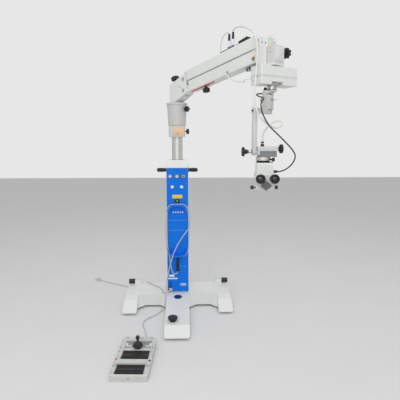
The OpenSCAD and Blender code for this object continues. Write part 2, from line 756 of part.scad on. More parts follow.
// where the covers begin and end along the links
lower_start = 62;
upper_start = 38;
upper_start_top = 15;
lower_end = link_len + 10;
upper_end = link_len + 21;
strip_len = 228;
arm_knob_x = 190;
arm_knob_d = 50;
stop_knob_x = link_len - 72;
module lower_link() {
  color("white") at_lower_pin() difference() {
    union() {
      link_body(lower_start, lower_start - cut, lower_end, lower_below, lower_above, 2 * lower_above);
      translate([lower_start + cut, -arm_w * 0.4, -lower_below - panel_t * 0.2])
        cube([strip_len, arm_w * 0.36, panel_t * 0.2 + cut]);
      translate([stop_knob_x, 0, -lower_below]) mirror([0, 0, 1]) {
        cylinder(h = arm_knob_d * 0.1, d = arm_knob_d * 0.4);
        translate([0, 0, arm_knob_d * 0.1]) star_knob(arm_knob_d * 0.7, arm_knob_d * 0.3, 8);
      }
    }
    translate([arm_knob_x, 0, -lower_below - panel_t]) cylinder(h = knob_stem_in + panel_t,
      d = knob_stem_d + 2 * run_gap);
  }
}
module arm_knob() {
  color("black") at_lower_pin() translate([arm_knob_x, 0, -lower_below]) mirror([0, 0, 1]) {
    translate([0, 0, -knob_stem_in * 0.9]) cylinder(h = arm_knob_d * 0.3 + knob_stem_in * 0.9 + cut,
      d = knob_stem_d);
    translate([0, 0, arm_knob_d * 0.16]) cylinder(h = arm_knob_d * 0.15, d = arm_knob_d * 0.5);
    translate([0, 0, arm_knob_d * 0.3]) star_knob(arm_knob_d, arm_knob_d * 0.45, 8);
  }
}
module upper_link() {
  color("white") at_upper_pin()
    link_body(upper_start, upper_start_top, upper_end, upper_below, upper_above, cheek_r);
}
// fittings on top of the arm: strip, two sockets, panel
deck_x = link_len - 288;
deck_l = 118;
deck_h = 12;
port_inset = 191;
port_step = 33;
port_places = [link_len - port_inset - port_step, link_len - port_inset];
port_d = 18;
port_h = 92;
grip_x = link_len - 130;
grip_l = 82;
grip_h = 26;
module top_deck() {
  color("black") at_upper_pin() translate([0, 0, upper_above]) {
    translate([deck_x + deck_l / 2, 0, 0]) rounded_box(deck_l, arm_w * 0.5, deck_h, deck_h * 0.4);
    for (x = port_places)
      translate([x, 0, deck_h]) rotate([0, arm_rise, 0]) {
        cylinder(h = port_h * 0.55, d = port_d);
        translate([0, 0, port_h * 0.55]) cylinder(h = port_h * 0.45, d1 = port_d * 0.9, d2 = guide_d * 1.3);
      }
    for (x = [deck_x + deck_l * 0.94, deck_x + deck_l * 0.8])
      translate([x, -arm_w * 0.12, deck_h]) cylinder(h = deck_h * 0.4, d = deck_h * 0.8);
    translate([grip_x + grip_l / 2, 0, 0]) front_profile(-arm_w * 0.3, arm_w * 0.6,
      soft_corners([[-grip_l / 2, 0], [grip_l / 2, 0], [grip_l * 0.44, grip_h], [-grip_l * 0.4,
        grip_h * 0.8]],
        grip_h * 0.15));
  }
}
// head of the arm, lamp and slides
tab_r = 22;
head_block_r = head_pin_r + tab_r * 1.6;
module arm_head() {
  plate_end = arm_reach + xy_l / 2;
  color("white") at_arm() difference() {
    union() {
      front_profile(-tongue_w / 2, tongue_w, concat(
        arc([head_pin_r, head_pin_z], tab_r, 270, 180, 6),
        arc([head_pin_r, head_pin_z + pin_gap], tab_r, 180, 90, 6),
        [[head_block_r + cut, head_pin_z + pin_gap + tab_r], [head_block_r + cut, head_pin_z - tab_r]]));
      translate([(head_block_r + arm_reach - lamp_l * 0.15) / 2, 0, lamp_z])
        rounded_box(arm_reach - lamp_l * 0.15 - head_block_r, lamp_w * 0.9,
          pin_gap + tab_r * 1.2 + head_drop, lamp_l * 0.14);
      translate([(head_block_r + plate_end) / 2, 0, lamp_z - head_plate_t])
        rounded_box(plate_end - head_block_r, lamp_w, head_plate_t, lamp_l * 0.14);
    }
    for (z = [head_pin_z, head_pin_z + pin_gap])
      translate([head_pin_r, 0, z]) rod_y(-arm_w, 2 * arm_w, pin_d);
    translate([arm_reach, 0, lamp_z - head_plate_t - cut]) cylinder(h = head_plate_t + 2 * cut,
      d = spindle2_d + 2 * run_gap);
  }
}
module head_pins() {
  cap_t = pin_d * 0.2;
  color("goldenrod") at_arm() for (z = [head_pin_z, head_pin_z + pin_gap])
    translate([head_pin_r, 0, z]) {
      rod_y(-arm_w / 2 - (z > head_pin_z ? 0 : cap_t), arm_w + cap_t, pin_d);
      rod_y(arm_w / 2 - cap_t, 2 * cap_t, pin_d);
      if (z == head_pin_z)
        rod_y(-arm_w / 2 - cap_t - face_gap, cap_t, pin_d * 1.5);
      rod_y(arm_w / 2 + face_gap, cap_t, pin_d * 1.5);
    }
}
lamp_r0 = arm_reach - lamp_l * 0.15;
lamp_knob_d = 60;
lamp_knob_x = lamp_r0 + lamp_l * 0.75;
lamp_knob_out = 10;
slots = 7;
module lamp_housing() {
  color("whitesmoke") at_arm() translate([lamp_r0 + lamp_l / 2, 0, lamp_z]) difference() {
    union() {
      rounded_box(lamp_l, lamp_w, lamp_h, lamp_l * 0.14);
      translate([0, -lamp_w * 0.2, lamp_h]) cylinder(h = lamp_l * 0.2, d = lamp_l * 0.35);
      translate([0, lamp_w * 0.16, lamp_h]) cylinder(h = lamp_l * 0.12, d = lamp_l * 0.25);
    }
    for (i = [0 : slots - 1])
      translate([lamp_l / 2 - panel_t, -lamp_w * 0.3, lamp_h * (0.2 + 0.09 * i)])
        cube([lamp_l, lamp_w * 0.6, lamp_h * 0.03]);
    translate([0, 0, -cut]) cylinder(h = head_plate_t / 2, d = spindle2_d * 1.2);
    translate([lamp_knob_x - lamp_r0 - lamp_l / 2, lamp_w / 2 - knob_stem_in, lamp_h * 0.72])
      rod_y(0, lamp_w, knob_stem_d + 2 * run_gap);
  }
}
module lamp_knob() {
  color("black") at_arm() translate([lamp_knob_x, lamp_w / 2, lamp_z + lamp_h * 0.72]) {
    rod_y(-knob_stem_in * 0.9, knob_stem_in * 0.9 + lamp_knob_out + lamp_knob_d * 0.2, knob_stem_d);
    rod_y(lamp_knob_d * 0.06, lamp_knob_out + lamp_knob_d * 0.12, lamp_knob_d * 0.5);
    translate([0, lamp_knob_out + lamp_knob_d * 0.16, 0]) rotate([-90, 0, 0])
      star_knob(lamp_knob_d, lamp_knob_d * 0.38, 8);
  }
}
rail_w = 80;
rail_h = 16;
// how far the unit reaches more to its far side
unit_side = 15;
// rim of each half along the joint between them
rim_out = 3;
rim_h = 5;
module unit_half(h, z_rim) {
  translate([0, unit_side, 0]) rounded_box(xy_l, xy_w, h, xy_l * 0.08);
  translate([0, unit_side, z_rim]) rounded_box(xy_l + 2 * rim_out, xy_w + 2 * rim_out, rim_h, xy_l * 0.08);
}
module xy_housing() {
  color("white") at_unit() {
    translate([0, 0, xy_z - xy_half_h]) unit_half(xy_half_h, 0);
    translate([0, 0, xy_z]) cylinder(h = swivel_t - face_gap, d = spindle2_d * 2);
    rod_z(xy_z - cut, lamp_z - face_gap, spindle2_d);
    side_rail(xy_z - xy_half_h);
  }
}
module rod_z(z0, z1, d) {
  translate([0, 0, z0]) cylinder(h = z1 - z0, d = d);
}
// the rail between the two halves, along the width of the unit
module side_rail(z) {
  translate([-rail_h, -xy_w * 0.38, z - rail_h * 0.6]) cube([2 * rail_h, xy_w * 0.76, rail_h * 0.6 + cut]);
}
module xy_carriage() {
  h = xy_half_h - face_gap;
  color("white") at_unit() translate([0, 0, flange_z]) difference() {
    union() {
      unit_half(h, h - rim_h);
      translate([-xy_l * 0.06, unit_side, h * 0.54])
        rod_y(-xy_w / 2 - loop_d * 2.7, loop_d * 3, loop_d * 2.4);
    }
    translate([-rail_h - face_gap, -xy_w, h - rail_h * 0.6 - face_gap])
      cube([2 * (rail_h + face_gap), 2 * xy_w, rail_h]);
    translate([-xy_l, -rail_w / 2 - face_gap, -cut]) cube([2 * xy_l, rail_w + 2 * face_gap, rail_h + cut]);
  }
}
module xy_cross_slide() {
  l = xy_l - 2 * xy_travel;
  color("silver") at_unit() {
    translate([0, 0, flange_z]) rounded_box(l, rail_w, rail_h - face_gap, l * 0.08);
    rod_z(hub_top, flange_z + cut, flange_d);
    rod_z(hub_top - pivot_h, hub_top + cut, pivot_d);
  }
}
module hanger() {
  color("gray") {
    difference() {
      union() {
        at_hanger() {
          translate([0, 0, hub_top - hub_h - face_gap]) cylinder(h = hub_h, d = hub_d);
          translate([hub_d * 0.75, 0, hanger_arm_z]) rounded_box(hub_d, hub_d * 0.86, hanger_block_h,
            hub_d * 0.12);
          front_profile(-bar_w * 0.7, bar_w * 1.4, soft_corners([[hub_d * 0.6, hanger_arm_z],
            [hanger_reach, hanger_arm_z], [hanger_reach, hanger_arm_z + hanger_arm_h],
            [hub_d * 1.6, hanger_arm_z + hanger_arm_h], [hub_d, hanger_arm_z + 2 * hanger_arm_h],
            [hub_d * 0.6, hanger_arm_z + 2 * hanger_arm_h]], bar_w * 0.15));
        }
        translate([bar_x, bar_y, tilt_z]) {
          rounded_box(bar_w, bar_d, hanger_arm_z + hanger_arm_h - tilt_z, bar_w * 0.15);
          rod_x(-bar_w / 2, bar_w, bar_d);
        }
        at_hanger() translate([hub_d * 0.75, 0, hub_top - hub_h * 0.55]) {
          rod_y(-hub_d * 0.75, hub_d * 0.5, hub_d * 0.4);
          rod_y(0, hub_d * 1.1, hub_d * 0.18);
        }
      }
      at_hanger() translate([0, 0, hub_top - pivot_h - cut]) cylinder(h = hub_h, d = pivot_d + 2 * run_gap);
      translate([bar_x, bar_y, tilt_z]) rod_x(-bar_w, 2 * bar_w, trunnion_d + 2 * run_gap);
    }
  }
}

// microscope
block_r = block_x + cheek_t;
knob_side = block_x + block_w;
module focusing_block() {
  color("gainsboro") at_tilt() difference() {
    union() {
      translate([block_x, -block_d / 2, block_z - tilt_z]) cube([block_w, block_d, block_h]);
      side_profile(block_x, cheek_t, soft_corners([[-block_d / 2, -bar_d * 0.4], [block_d / 2,
        -bar_d * 0.4],
        [block_d / 2, block_z - tilt_z + cut], [-block_d / 2, block_z - tilt_z + cut]], cut));
      rod_x(bar_x - bar_w * 0.1, block_x - bar_x + bar_w * 0.1 + cut, trunnion_d);
      rod_x(bar_x + bar_w / 2 + face_gap, block_x - bar_x - bar_w / 2, bar_d * 0.9);
      translate([scope_x - ring_d * 0.1, -block_d * 0.15, block_z - tilt_z + block_h]) {
        cylinder(h = guide_d * 2.6, d = guide_d * 1.6);
        cylinder(h = guide_d * 0.8, d = guide_d * 2);
      }
    }
    translate([knob_side - knob_stem_in, 0, block_z - tilt_z + block_h / 2])
      rod_x(0, block_w, knob_stem_d + 2 * run_gap);
  }
}
module tilt_knob() {
  x = bar_x - bar_w / 2;
  color("black") at_tilt() {
    rod_x(x - side_knob_d * 0.55, side_knob_d * 0.55 + bar_w * 0.35, trunnion_d);
    rod_x(x - side_knob_d * 0.8, side_knob_d * 0.3, side_knob_d * 0.5);
    translate([x - side_knob_d * 0.8, 0, 0]) rotate([0, -90, 0])
      star_knob(side_knob_d, side_knob_d * 0.25, 10);
  }
}
module focus_knob() {
  color("black") at_tilt() translate([knob_side, 0, block_z - tilt_z + block_h / 2]) {
    rod_x(-knob_stem_in * 0.9, knob_stem_in * 0.9 + side_knob_d * 0.1, knob_stem_d);
    rod_x(side_knob_d * 0.03, side_knob_d * 0.34, side_knob_d * 0.5);
    translate([side_knob_d * 0.36, 0, 0]) rotate([0, 90, 0]) star_knob(side_knob_d, side_knob_d * 0.3, 12);
  }
}
module focus_carriage() {
  w = block_w - cheek_t - swivel_t;
  color("gray") at_tilt() {
    translate([block_r + face_gap + w / 2, 0, block_z - tilt_z - carriage_h])
      rounded_box(w - face_gap, block_d * 0.88, carriage_h - face_gap, cheek_t * 0.4);
    translate([scope_x, 0, block_z - tilt_z - carriage_h - ring_h]) cylinder(h = ring_h + cut, d = ring_d);
  }
}
objective_d = 62;
objective_l = 32;
module scope_body() {
  color("white") translate([scope_x, 0, scope_top]) difference() {
    union() {
      intersection() {
        side_profile(-scope_w / 2, scope_w, [for (p = soft_corners([[0, 0], [scope_l, 0],
          [scope_l, -scope_h * 0.82], [scope_l * 0.86, -scope_h], [0, -scope_h]], scope_w * 0.1))
          [p[0] + scope_rear, p[1]]]);
        translate([0, scope_rear, -2 * scope_h]) linear_extrude(3 * scope_h) polygon([[-scope_w, -cut],
          [scope_w, -cut], [scope_w / 2, scope_l * 0.3], [scope_w * 0.36, scope_l + cut],
          [-scope_w * 0.36, scope_l + cut], [-scope_w / 2, scope_l * 0.3]]);
      }
      translate([0, bar_y, 0]) cylinder(h = neck_h, d = ring_d * 0.9);
      translate([0, scope_rear + scope_l, -scope_h * 0.5]) {
        rod_y(-cut, objective_l + cut, objective_d);
        rod_y(objective_l * 0.6, objective_l * 0.4, objective_d * 1.08);
      }
      translate([scope_w / 2 - cut, bar_y, -scope_h * 0.08])
        rod_x(-cheek_t, 2 * cheek_t, ring_d * 0.45);
      translate([scope_w / 2 - cut, bar_y + scope_l * 0.1, -scope_h * 0.35])
        rod_x(-cheek_t, cheek_t + camera_d * 3, camera_d * 2.4);
    }
    translate([0, scope_rear + scope_l + objective_l * 0.7, -scope_h * 0.5])
      rod_y(0, objective_l, objective_d * 0.86);
  }
}
pd_z = prism_z - prism_r * 1.1;
module binocular_tube() {
  t = binocular_t;
  color("gainsboro") difference() {
    front_profile(scope_rear - t, t, [for (p = soft_corners([[-scope_w * 0.46, scope_top - scope_h * 0.96],
      [scope_w * 0.46, scope_top - scope_h * 0.96], [scope_w * 0.46, prism_z + prism_r * 0.5],
      [scope_w * 0.2, prism_z + prism_r * 1.1], [-scope_w * 0.2, prism_z + prism_r * 1.1],
      [-scope_w * 0.46, prism_z + prism_r * 0.5]], scope_w * 0.06)) [p[0] + scope_x, p[1]]]);
    for (s = [-1, 1])
      translate([scope_x + s * prism_x, 0, prism_z]) rod_y(scope_rear - t - cut, t * 0.7 + cut,
        prism_r * 0.5 + 2 * run_gap);
    translate([scope_x, scope_rear - t / 2, pd_z]) rod_x(-scope_w, 2 * scope_w,
      knob_stem_d * 0.6 + 2 * run_gap);
  }
}
module eyepiece(s) {
  color("black") {
    translate([scope_x + s * prism_x, 0, prism_z]) {
      rod_y(eye_y + face_gap, prism_t - 2 * face_gap, prism_r * 1.93);
      rod_y(eye_y + prism_t / 2, prism_t / 2 + binocular_t * 0.65, prism_r * 0.5);
    }
    translate([scope_x + s * eye_spacing / 2, eye_y + face_gap + cut, eye_z]) rotate([90, 0, 0])
      rotate_extrude() polygon([[0, 0], [eyecup_d * 0.38, 0], [eyecup_d * 0.38, eyepiece_l * 0.36],
        [eyecup_d * 0.46, eyepiece_l * 0.4], [eyecup_d * 0.46, eyepiece_l * 0.66],
        [eyecup_d * 0.5, eyepiece_l * 0.72], [eyecup_d * 0.5, eyepiece_l * 0.94],
        [eyecup_d * 0.47, eyepiece_l], [eyecup_d * 0.36, eyepiece_l], [eyecup_d * 0.3, eyepiece_l * 0.86],
        [0, eyepiece_l * 0.86]]);
  }
}
module pd_knob() {
  color("black") translate([scope_x, scope_rear - binocular_t / 2, pd_z]) {
    rod_x(-scope_w * 0.86, scope_w * 1.58, knob_stem_d * 0.6);
    rod_x(-scope_w * 0.89, scope_w * 0.16, knob_stem_d * 2);
    rod_x(scope_w * 0.59, scope_w * 0.16, knob_stem_d * 2);
  }
}

// foot switch
// places along the foot switch, as shares of its length, from its middle
rocker_front_share = -0.36;
rocker_rear_share = -0.005;
rocker_len_share = 0.225;
crossbar_share = -0.182;
tray_depth = 6;
rocker_w = 150;
well_depth = 14;
rocker_pin_d = 6;
function pedal_top(s) = pedal_front_h + (pedal_rear_h - pedal_front_h) * (s + 0.5);
module rocker_place(share, z_off) {
  translate([share > -0.3 ? pedal_w * 0.03 : 0, pedal_l * share, pedal_top(share) + z_off]) children();
}
module pedal_housing() {
  h0 = pedal_front_h;
  h1 = pedal_rear_h;
  l = pedal_l / 2;
  color("lightgray") at_pedal() difference() {
    union() {
      difference() {
        intersection() {
          rounded_box(pedal_w, pedal_l, h1 * 2, pedal_w * 0.09);
          side_profile(-pedal_w, 2 * pedal_w, [[-l, 0], [l, 0], [l, h1 - toe_lip], [l - toe_lip, h1],
            [toe_lip * 2 - l, h0], [-l, h0 - toe_lip * 1.4]]);
        }
        translate([pedal_w * 0.03, pedal_l * 0.255, pedal_top(0.255) - tray_depth])
          rounded_box(rocker_w, pedal_l * 0.27, h1, toe_lip);
      }
      translate([0, pedal_l * crossbar_share, pedal_top(crossbar_share) - cut * 2])
        rotate([atan2(h1 - h0, pedal_l), 0, 0])
          rounded_box(pedal_w * 0.86, pedal_l * 0.1, toe_lip + 2 * cut, toe_lip * 0.9);
      translate([0, l - pedal_l * 0.045, h1 - cut]) rounded_box(pedal_w * 0.22, pedal_l * 0.05,
        toe_lip * 1.6, toe_lip * 0.6);
      translate([stick_x, stick_y, h1 * 0.8]) cylinder(h = h1 * 0.17, d = joystick_h * 0.42);
      translate([pedal_w * 0.135, l - cut, h1 / 2]) rotate([-90, 0, 0])
        cylinder(h = foot_d * 3.1 + cut, d1 = foot_d * 2, d2 = foot_d * 1.2);
    }
    for (s = [rocker_front_share, rocker_rear_share])
      rocker_place(s, -well_depth)
        rounded_box(rocker_w, pedal_l * rocker_len_share * 0.98, h1, toe_lip);
    for (s = [rocker_front_share, rocker_rear_share])
      rocker_pivot(s) rod_x(-rocker_w / 2 - rocker_pin_d, rocker_w + 2 * rocker_pin_d,
        rocker_pin_d + 2 * run_gap);
    translate([stick_x, stick_y, h1 * 0.45]) cylinder(h = h1, d = joystick_h * 0.34);
    translate([stick_x, stick_y, h1 * 0.72]) rod_x(-joystick_h * 0.2, joystick_h * 0.4,
      rocker_pin_d + 2 * run_gap);
  }
}
// the middle of a rocker is its pivot
module rocker_pivot(s) {
  rocker_place(s, -well_depth * 0.45) children();
}
module rocker(s) {
  lr = pedal_l * rocker_len_share * 0.45;
  t = well_depth * 0.5;
  color("black") at_pedal() rocker_pivot(s) {
    side_profile(-rocker_w / 2 + face_gap * 2, rocker_w - 4 * face_gap,
      soft_corners([[-lr, t * 0.5], [0, -t * 0.75], [lr, t * 0.5], [lr * 0.98, t * 1.7],
        [lr * 0.2, t * 1.1], [-lr * 0.2, t * 1.1], [-lr * 0.98, t * 1.7]], t * 0.25));
    rod_x(-rocker_w / 2 - rocker_pin_d * 0.8, rocker_w + rocker_pin_d * 1.6, rocker_pin_d);
  }
}
stick_z = pedal_rear_h * 0.72;
module at_stick() {
  at_pedal() translate([stick_x, stick_y, stick_z]) children();
}
module joystick_gimbal() {
  d = joystick_h * 0.26;
  color("dimgray") at_stick() difference() {
    union() {
      translate([0, 0, -rocker_pin_d * 0.8]) cylinder(h = rocker_pin_d * 1.6, d = d);
      rod_x(-joystick_h * 0.19, joystick_h * 0.38, rocker_pin_d);
    }
    translate([0, 0, -d / 2]) cylinder(h = d, d = d * 0.66);
    rod_y(-d, 2 * d, rocker_pin_d * 0.6 + 2 * run_gap);
  }
}
module joystick() {
  s = joystick_h * 0.1;
  color("black") at_stick() {
    rod_y(-joystick_h * 0.12, joystick_h * 0.24, rocker_pin_d * 0.6);
    rotate_extrude() polygon([[0, -s * 0.5], [s * 0.4, -s * 0.5], [s * 0.5, s * 1.4], [s * 2.3, s * 2],
      [s * 2.1, s * 2.6], [s * 1.6, s * 3], [s * 1.5, s * 3.3], [s * 0.95, s * 3.8], [s * 0.5, s * 4.5],
      [s * 0.55, s * 5.1], [s * 0.85, s * 5.5], [s * 0.95, s * 6], [s * 0.85, s * 6.5], [s * 0.5, s * 7],
      [0, s * 7.1]]);
  }
}

// cords
function tangents(p) = [for (i = [0 : len(p) - 1])
  let (t = p[min(i + 1, len(p) - 1)] - p[max(i - 1, 0)]) t / norm(t)];
function square_to(n, t) = let (m = n - (n * t) * t) m / norm(m);
function carried(ts, n, i = 0) = i == len(ts) ? []
  : let (u = square_to(n, ts[i])) concat([u], carried(ts, u, i + 1));
module tube(p, d, sides = 8) {
  ts = tangents(p);
  first = abs(ts[0][2]) > 0.8 ? [1, 0, 0] : [0, 0, 1];
  ns = carried(ts, first);
  last = len(p) - 1;
  polyhedron(
    points = [for (i = [0 : last], k = [0 : sides - 1])
      p[i] + d / 2 * (cos(360 * k / sides) * ns[i] + sin(360 * k / sides) * cross(ts[i], ns[i]))],
    faces = concat([[for (k = [sides - 1 : -1 : 0]) k]], [[for (k = [0 : sides - 1]) last * sides + k]],
      [for (i = [0 : last - 1], k = [0 : sides - 1])
        [i * sides + k, i * sides + (k + 1) % sides, (i + 1) * sides + (k + 1) % sides]],
      [for (i = [0 : last - 1], k = [0 : sides - 1])
        [i * sides + k, (i + 1) * sides + (k + 1) % sides, (i + 1) * sides + k]]));
}
function port_end(x) = in_arm([pin_r + x * cos(arm_rise) - (upper_above + deck_h) * sin(arm_rise), 0,
  pin_z + pin_gap + x * sin(arm_rise) + (upper_above + deck_h) * cos(arm_rise) + port_h]);
guide_out = port_end(port_places[1]);
// the short lead from the left socket, back and down to the far side of the upper link
top_lead_route = [for (p = [[0, 0, 0], [0, 0, 6], [-12, 3, 13], [-35, 10, 14], [-70, 20, 5], [-98, 32, -15],
  [-112, 40, -40], [-119, 45, -69], [-120, 47, -104], [-120, 51, -135], [-118, arm_w / 2 + 10, -150],
  [-118, arm_w / 2, -150]]) port_end(port_places[0]) + in_arm(p)];
guide_in = [scope_x - ring_d * 0.1, bar_y - block_d * 0.15, block_z + block_h + guide_d * 2.6];
// a point given from the lower head pin
function by_head(p) = [head_x, head_y, head_pin_z] + p;
guide_route = concat([guide_out, guide_out + [0, 0, guide_d]],
  [for (p = [[-179, 210, 215], [-156, 169, 209], [-130, 112, 185], [-108, 57, 153], [-97, 2, 108],
  [-96, -53, 37], [-105, -100, -47], [-119, -143, -140], [-131, -181, -230], [-126, -201, -295],
  [-103, -211, -347], [-64, -213, -385], [-21, -205, -404], [12, -191, -395], [21, -179, -377],
  [7, -171, -365], [-19, -165, -371], [-48, -160, -394], [-69, -157, -423], [-77, -155, -449]]) by_head(p)],
  [guide_in + [0, 0, guide_d], guide_in]);
function in_arm(p) = [p[0] * cos(arm_azimuth) - p[1] * sin(arm_azimuth),
  p[0] * sin(arm_azimuth) + p[1] * cos(arm_azimuth), p[2]];
function in_hanger(p) = [head_x + p[0] * cos(hanger_azimuth) - p[1] * sin(hanger_azimuth),
  head_y + p[0] * sin(hanger_azimuth) + p[1] * cos(hanger_azimuth), p[2]];
camera_out = [hub_d * 0.75, -hub_d * 0.75, hub_top - hub_h * 0.55];
camera_in = [scope_x + scope_w / 2 - cut + camera_d * 3, bar_y + scope_l * 0.1, scope_top - scope_h * 0.35];
camera_route = concat([for (p = [[0, 0, 0], [0, -14, 0], [10, -29, -2], [34, -28, -8], [68, 8, -18]])
  in_hanger(camera_out + p)], [for (p = [[-71, -133, -245], [-93, -173, -279], [-89, -211, -334],
  [-59, -236, -395], [-18, -243, -437], [24, -235, -475], [71, -219, -520], [91, -203, -555],
  [83, -181, -593], [57, -151, -625], [29, -131, -639]]) by_head(p)],
  [camera_in + [2 * camera_d, 0, 0], camera_in]);
function in_unit(p) = [p[0] * cos(unit_turn) - p[1] * sin(unit_turn),
  p[0] * sin(unit_turn) + p[1] * cos(unit_turn), p[2]] + [arm_reach, 0, 0];
loop_in = [-xy_l * 0.06, unit_side - xy_w / 2 - loop_d * 2.7, flange_z + (xy_half_h - face_gap) * 0.54];
loop_route = concat([for (p = [[-315, -arm_w / 2, 111], [-315, -50, 111], [-310, -64, 107], [-291, -75, 91],
  [-251, -84, 62], [-193, -96, 39], [-140, -108, 27], [-100, -125, 22], [-74, -149, 23], [-56, -164, 25],
  [-43, -157, 27]]) in_arm(p + [arm_reach, 0, flange_z])],
  [in_arm(in_unit(loop_in - [0, 2.5 * loop_d, 0])), in_arm(in_unit(loop_in))]);
module light_guide() {
  color("white") {
    tube(guide_route, guide_d);
    tube(top_lead_route, loop_d);
  }
}
module camera_cable() {
  color("black") tube(camera_route, camera_d);
}
module arm_loop_cable() {
  color("white") tube(loop_route, loop_d);
}
// the foot switch cable is wound round the two saddles on the panel
wind_turns = 1.6;
wind_start = 225;
wind_rings = 24;
wind_w = 77;
wind_w_step = 9;
wind_y_step = 10;
wind_mid = (hook_top + hook_bottom) / 2;
wind_h = (hook_top - hook_bottom) / 2 + foot_d * 0.9;
function power(v, e) = sign(v) * pow(abs(v), e);
function wound(u) = let (a = wind_start - 360 * u)
  [(wind_w + wind_w_step * u) * power(cos(a), 0.5), panel_y - foot_d * 1.3 - wind_y_step * u,
  wind_mid + (wind_h + u * foot_d * 0.3) * power(sin(a), 0.5)];
wind_count = round(wind_rings * wind_turns);
wind_points = [for (i = [0 : wind_count]) wound(wind_turns * i / wind_count)];
// the least gap between one turn of the winding and the next
wind_gap = min([for (i = [0 : wind_count], j = [i + 8 : 1 : wind_count])
  norm(wind_points[i] - wind_points[j])]) - foot_d;
module foot_cable_winding() {
  echo(least_gap_in_winding = wind_gap);
  color("lightgray") tube(wind_points, foot_d, 6);
}
// the cable's own direction at both ends of the winding
wind_in = wind_points[0] + (wind_points[0] - wind_points[1]) * 0.4;
wind_last = wind_points[wind_count] - wind_points[wind_count - 1];
wind_end = wind_points[wind_count] + wind_last / norm(wind_last) * face_gap;
wind_out = wind_end + wind_last * 0.25;
connector_end = [panel_w * connector_share[0], panel_y - connector_w / 2,
  base_top + panel_foot + panel_h * connector_share[1] - connector_h / 2];
lead_route = concat([connector_end, connector_end - [0, 0, foot_d]], [[-6, -95, 246], [-16, -98, 240],
  [-30, -98, 243], [-42, -98, 262], [-51, -97, 300], [-58, -95, 345], [-61, -93, 376]],
  [wind_in, wind_points[0]]);
run_route = concat([wind_end, wind_out], [[85, -111, 596], [67, -115, 568], [38, -119, 530],
  [0, -123, 470], [-30, -126, 405], [-53, -128, 330], [-72, -130, 250], [-84, -133, 180],
  [-88, -138, 135], [-90, -147, 104], [-93, -160, 72], [-97, -174, 38], [-106, -193, 12], [-125, -228, 4],
  [-165, -295, 4], [-212, -350, 4], [-232, -415, 4], [-214, -500, 4], [-196, -580, 4],
  [-191, -640, 10], [-191, -670, 22], [-191, -690, 26]]);
module foot_cable_run() {
  color("lightgray") {
    tube(lead_route, foot_d);
    tube(run_route, foot_d);
  }
}
mains_out = [panel_w * inlet_share[0], panel_y - panel_t * 0.45,
  base_top + panel_foot + panel_h * inlet_share[1]];
// the plug lies on the floor, turned towards the wall
plug_w = 28;
plug_turn = 150;
mains_end = [-700, 462, plug_w * 0.4];
mains_route = concat([mains_out, mains_out - [0, 2 * mains_d, 0]], [[-60, -114, 116], [-71, -125, 114],
  [-85, -129, 111], [-99, -125, 107], [-110, -114, 104], [-114, -99, 102], [-116, -66, 101],
  [-124, -35, 101], [-141, 0, 101], [-172, 42, 101], [-215, 91, 101], [-241, 118, 101], [-248, 131, 101],
  [-254, 144, 95], [-259, 153, 82], [-262, 158, 62], [-266, 162, 40], [-273, 170, 22], [-286, 184, 9],
  [-310, 206, 4], [-400, 276, 4], [-480, 330, 4], [-560, 380, 4], [-640, 428, 6]],
  [mains_end - 2 * mains_d * [cos(plug_turn), sin(plug_turn), 0], mains_end]);
module mains_cord() {
  color("lightgray") tube(mains_route, mains_d);
}
module mains_plug() {
  color("lightgray") translate([mains_end[0], mains_end[1], 0]) rotate([0, 0, plug_turn]) {
    translate([plug_w * 0.6, 0, 0]) rounded_box(plug_w * 1.2, plug_w, plug_w * 0.8, plug_w * 0.2);
    for (s = [-1, 1])
      translate([plug_w * 1.2 - cut, s * plug_w * 0.22 - cut, plug_w * 0.3])
        cube([plug_w * 0.6, cut * 2, plug_w * 0.22]);
  }
}

base_casting();
column_shell();
column_panel();
column_cap();
mast_tube();
panel_sockets();
column_hardware();
caster_fork(-caster_x, caster_rear);  // caster_fork_rear_left
caster_fork(caster_x, caster_rear);  // caster_fork_rear_right
caster_fork(-caster_x, -caster_front);  // caster_fork_front_left
caster_fork(caster_x, -caster_front);  // caster_fork_front_right
caster_wheel(-caster_x, caster_rear);  // caster_wheel_rear_left
caster_wheel(caster_x, caster_rear);  // caster_wheel_rear_right
caster_wheel(-caster_x, -caster_front);  // caster_wheel_front_left
caster_wheel(caster_x, -caster_front);  // caster_wheel_front_right
brake_lever(-1);  // brake_lever_left
brake_lever(1);  // brake_lever_right
parking_foot();
panel_knob(0);  // panel_knob_left
panel_knob(1);  // panel_knob_right
pedal_housing();
joystick_gimbal();
joystick();
rocker(rocker_rear_share);  // rocker_rear
rocker(rocker_front_share);  // rocker_front
mast_collar();
carrier_cup();
collar_knob();
cup_knob();
elbow_fork();
elbow_pins();
elbow_knob();
lower_link();
upper_link();
top_deck();
arm_knob();
arm_head();
head_pins();
lamp_housing();
lamp_knob();
xy_housing();
xy_carriage();
xy_cross_slide();
hanger();
focusing_block();
tilt_knob();
focus_knob();
focus_carriage();
scope_body();
binocular_tube();
eyepiece(-1);  // eyepiece_left
eyepiece(1);  // eyepiece_right
pd_knob();
light_guide();
camera_cable();
arm_loop_cable();
foot_cable_winding();
foot_cable_run();
mains_cord();
mains_plug();
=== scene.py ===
import json
from math import atan2, cos, pi, radians, sin

import bpy
from mathutils import Matrix, Vector


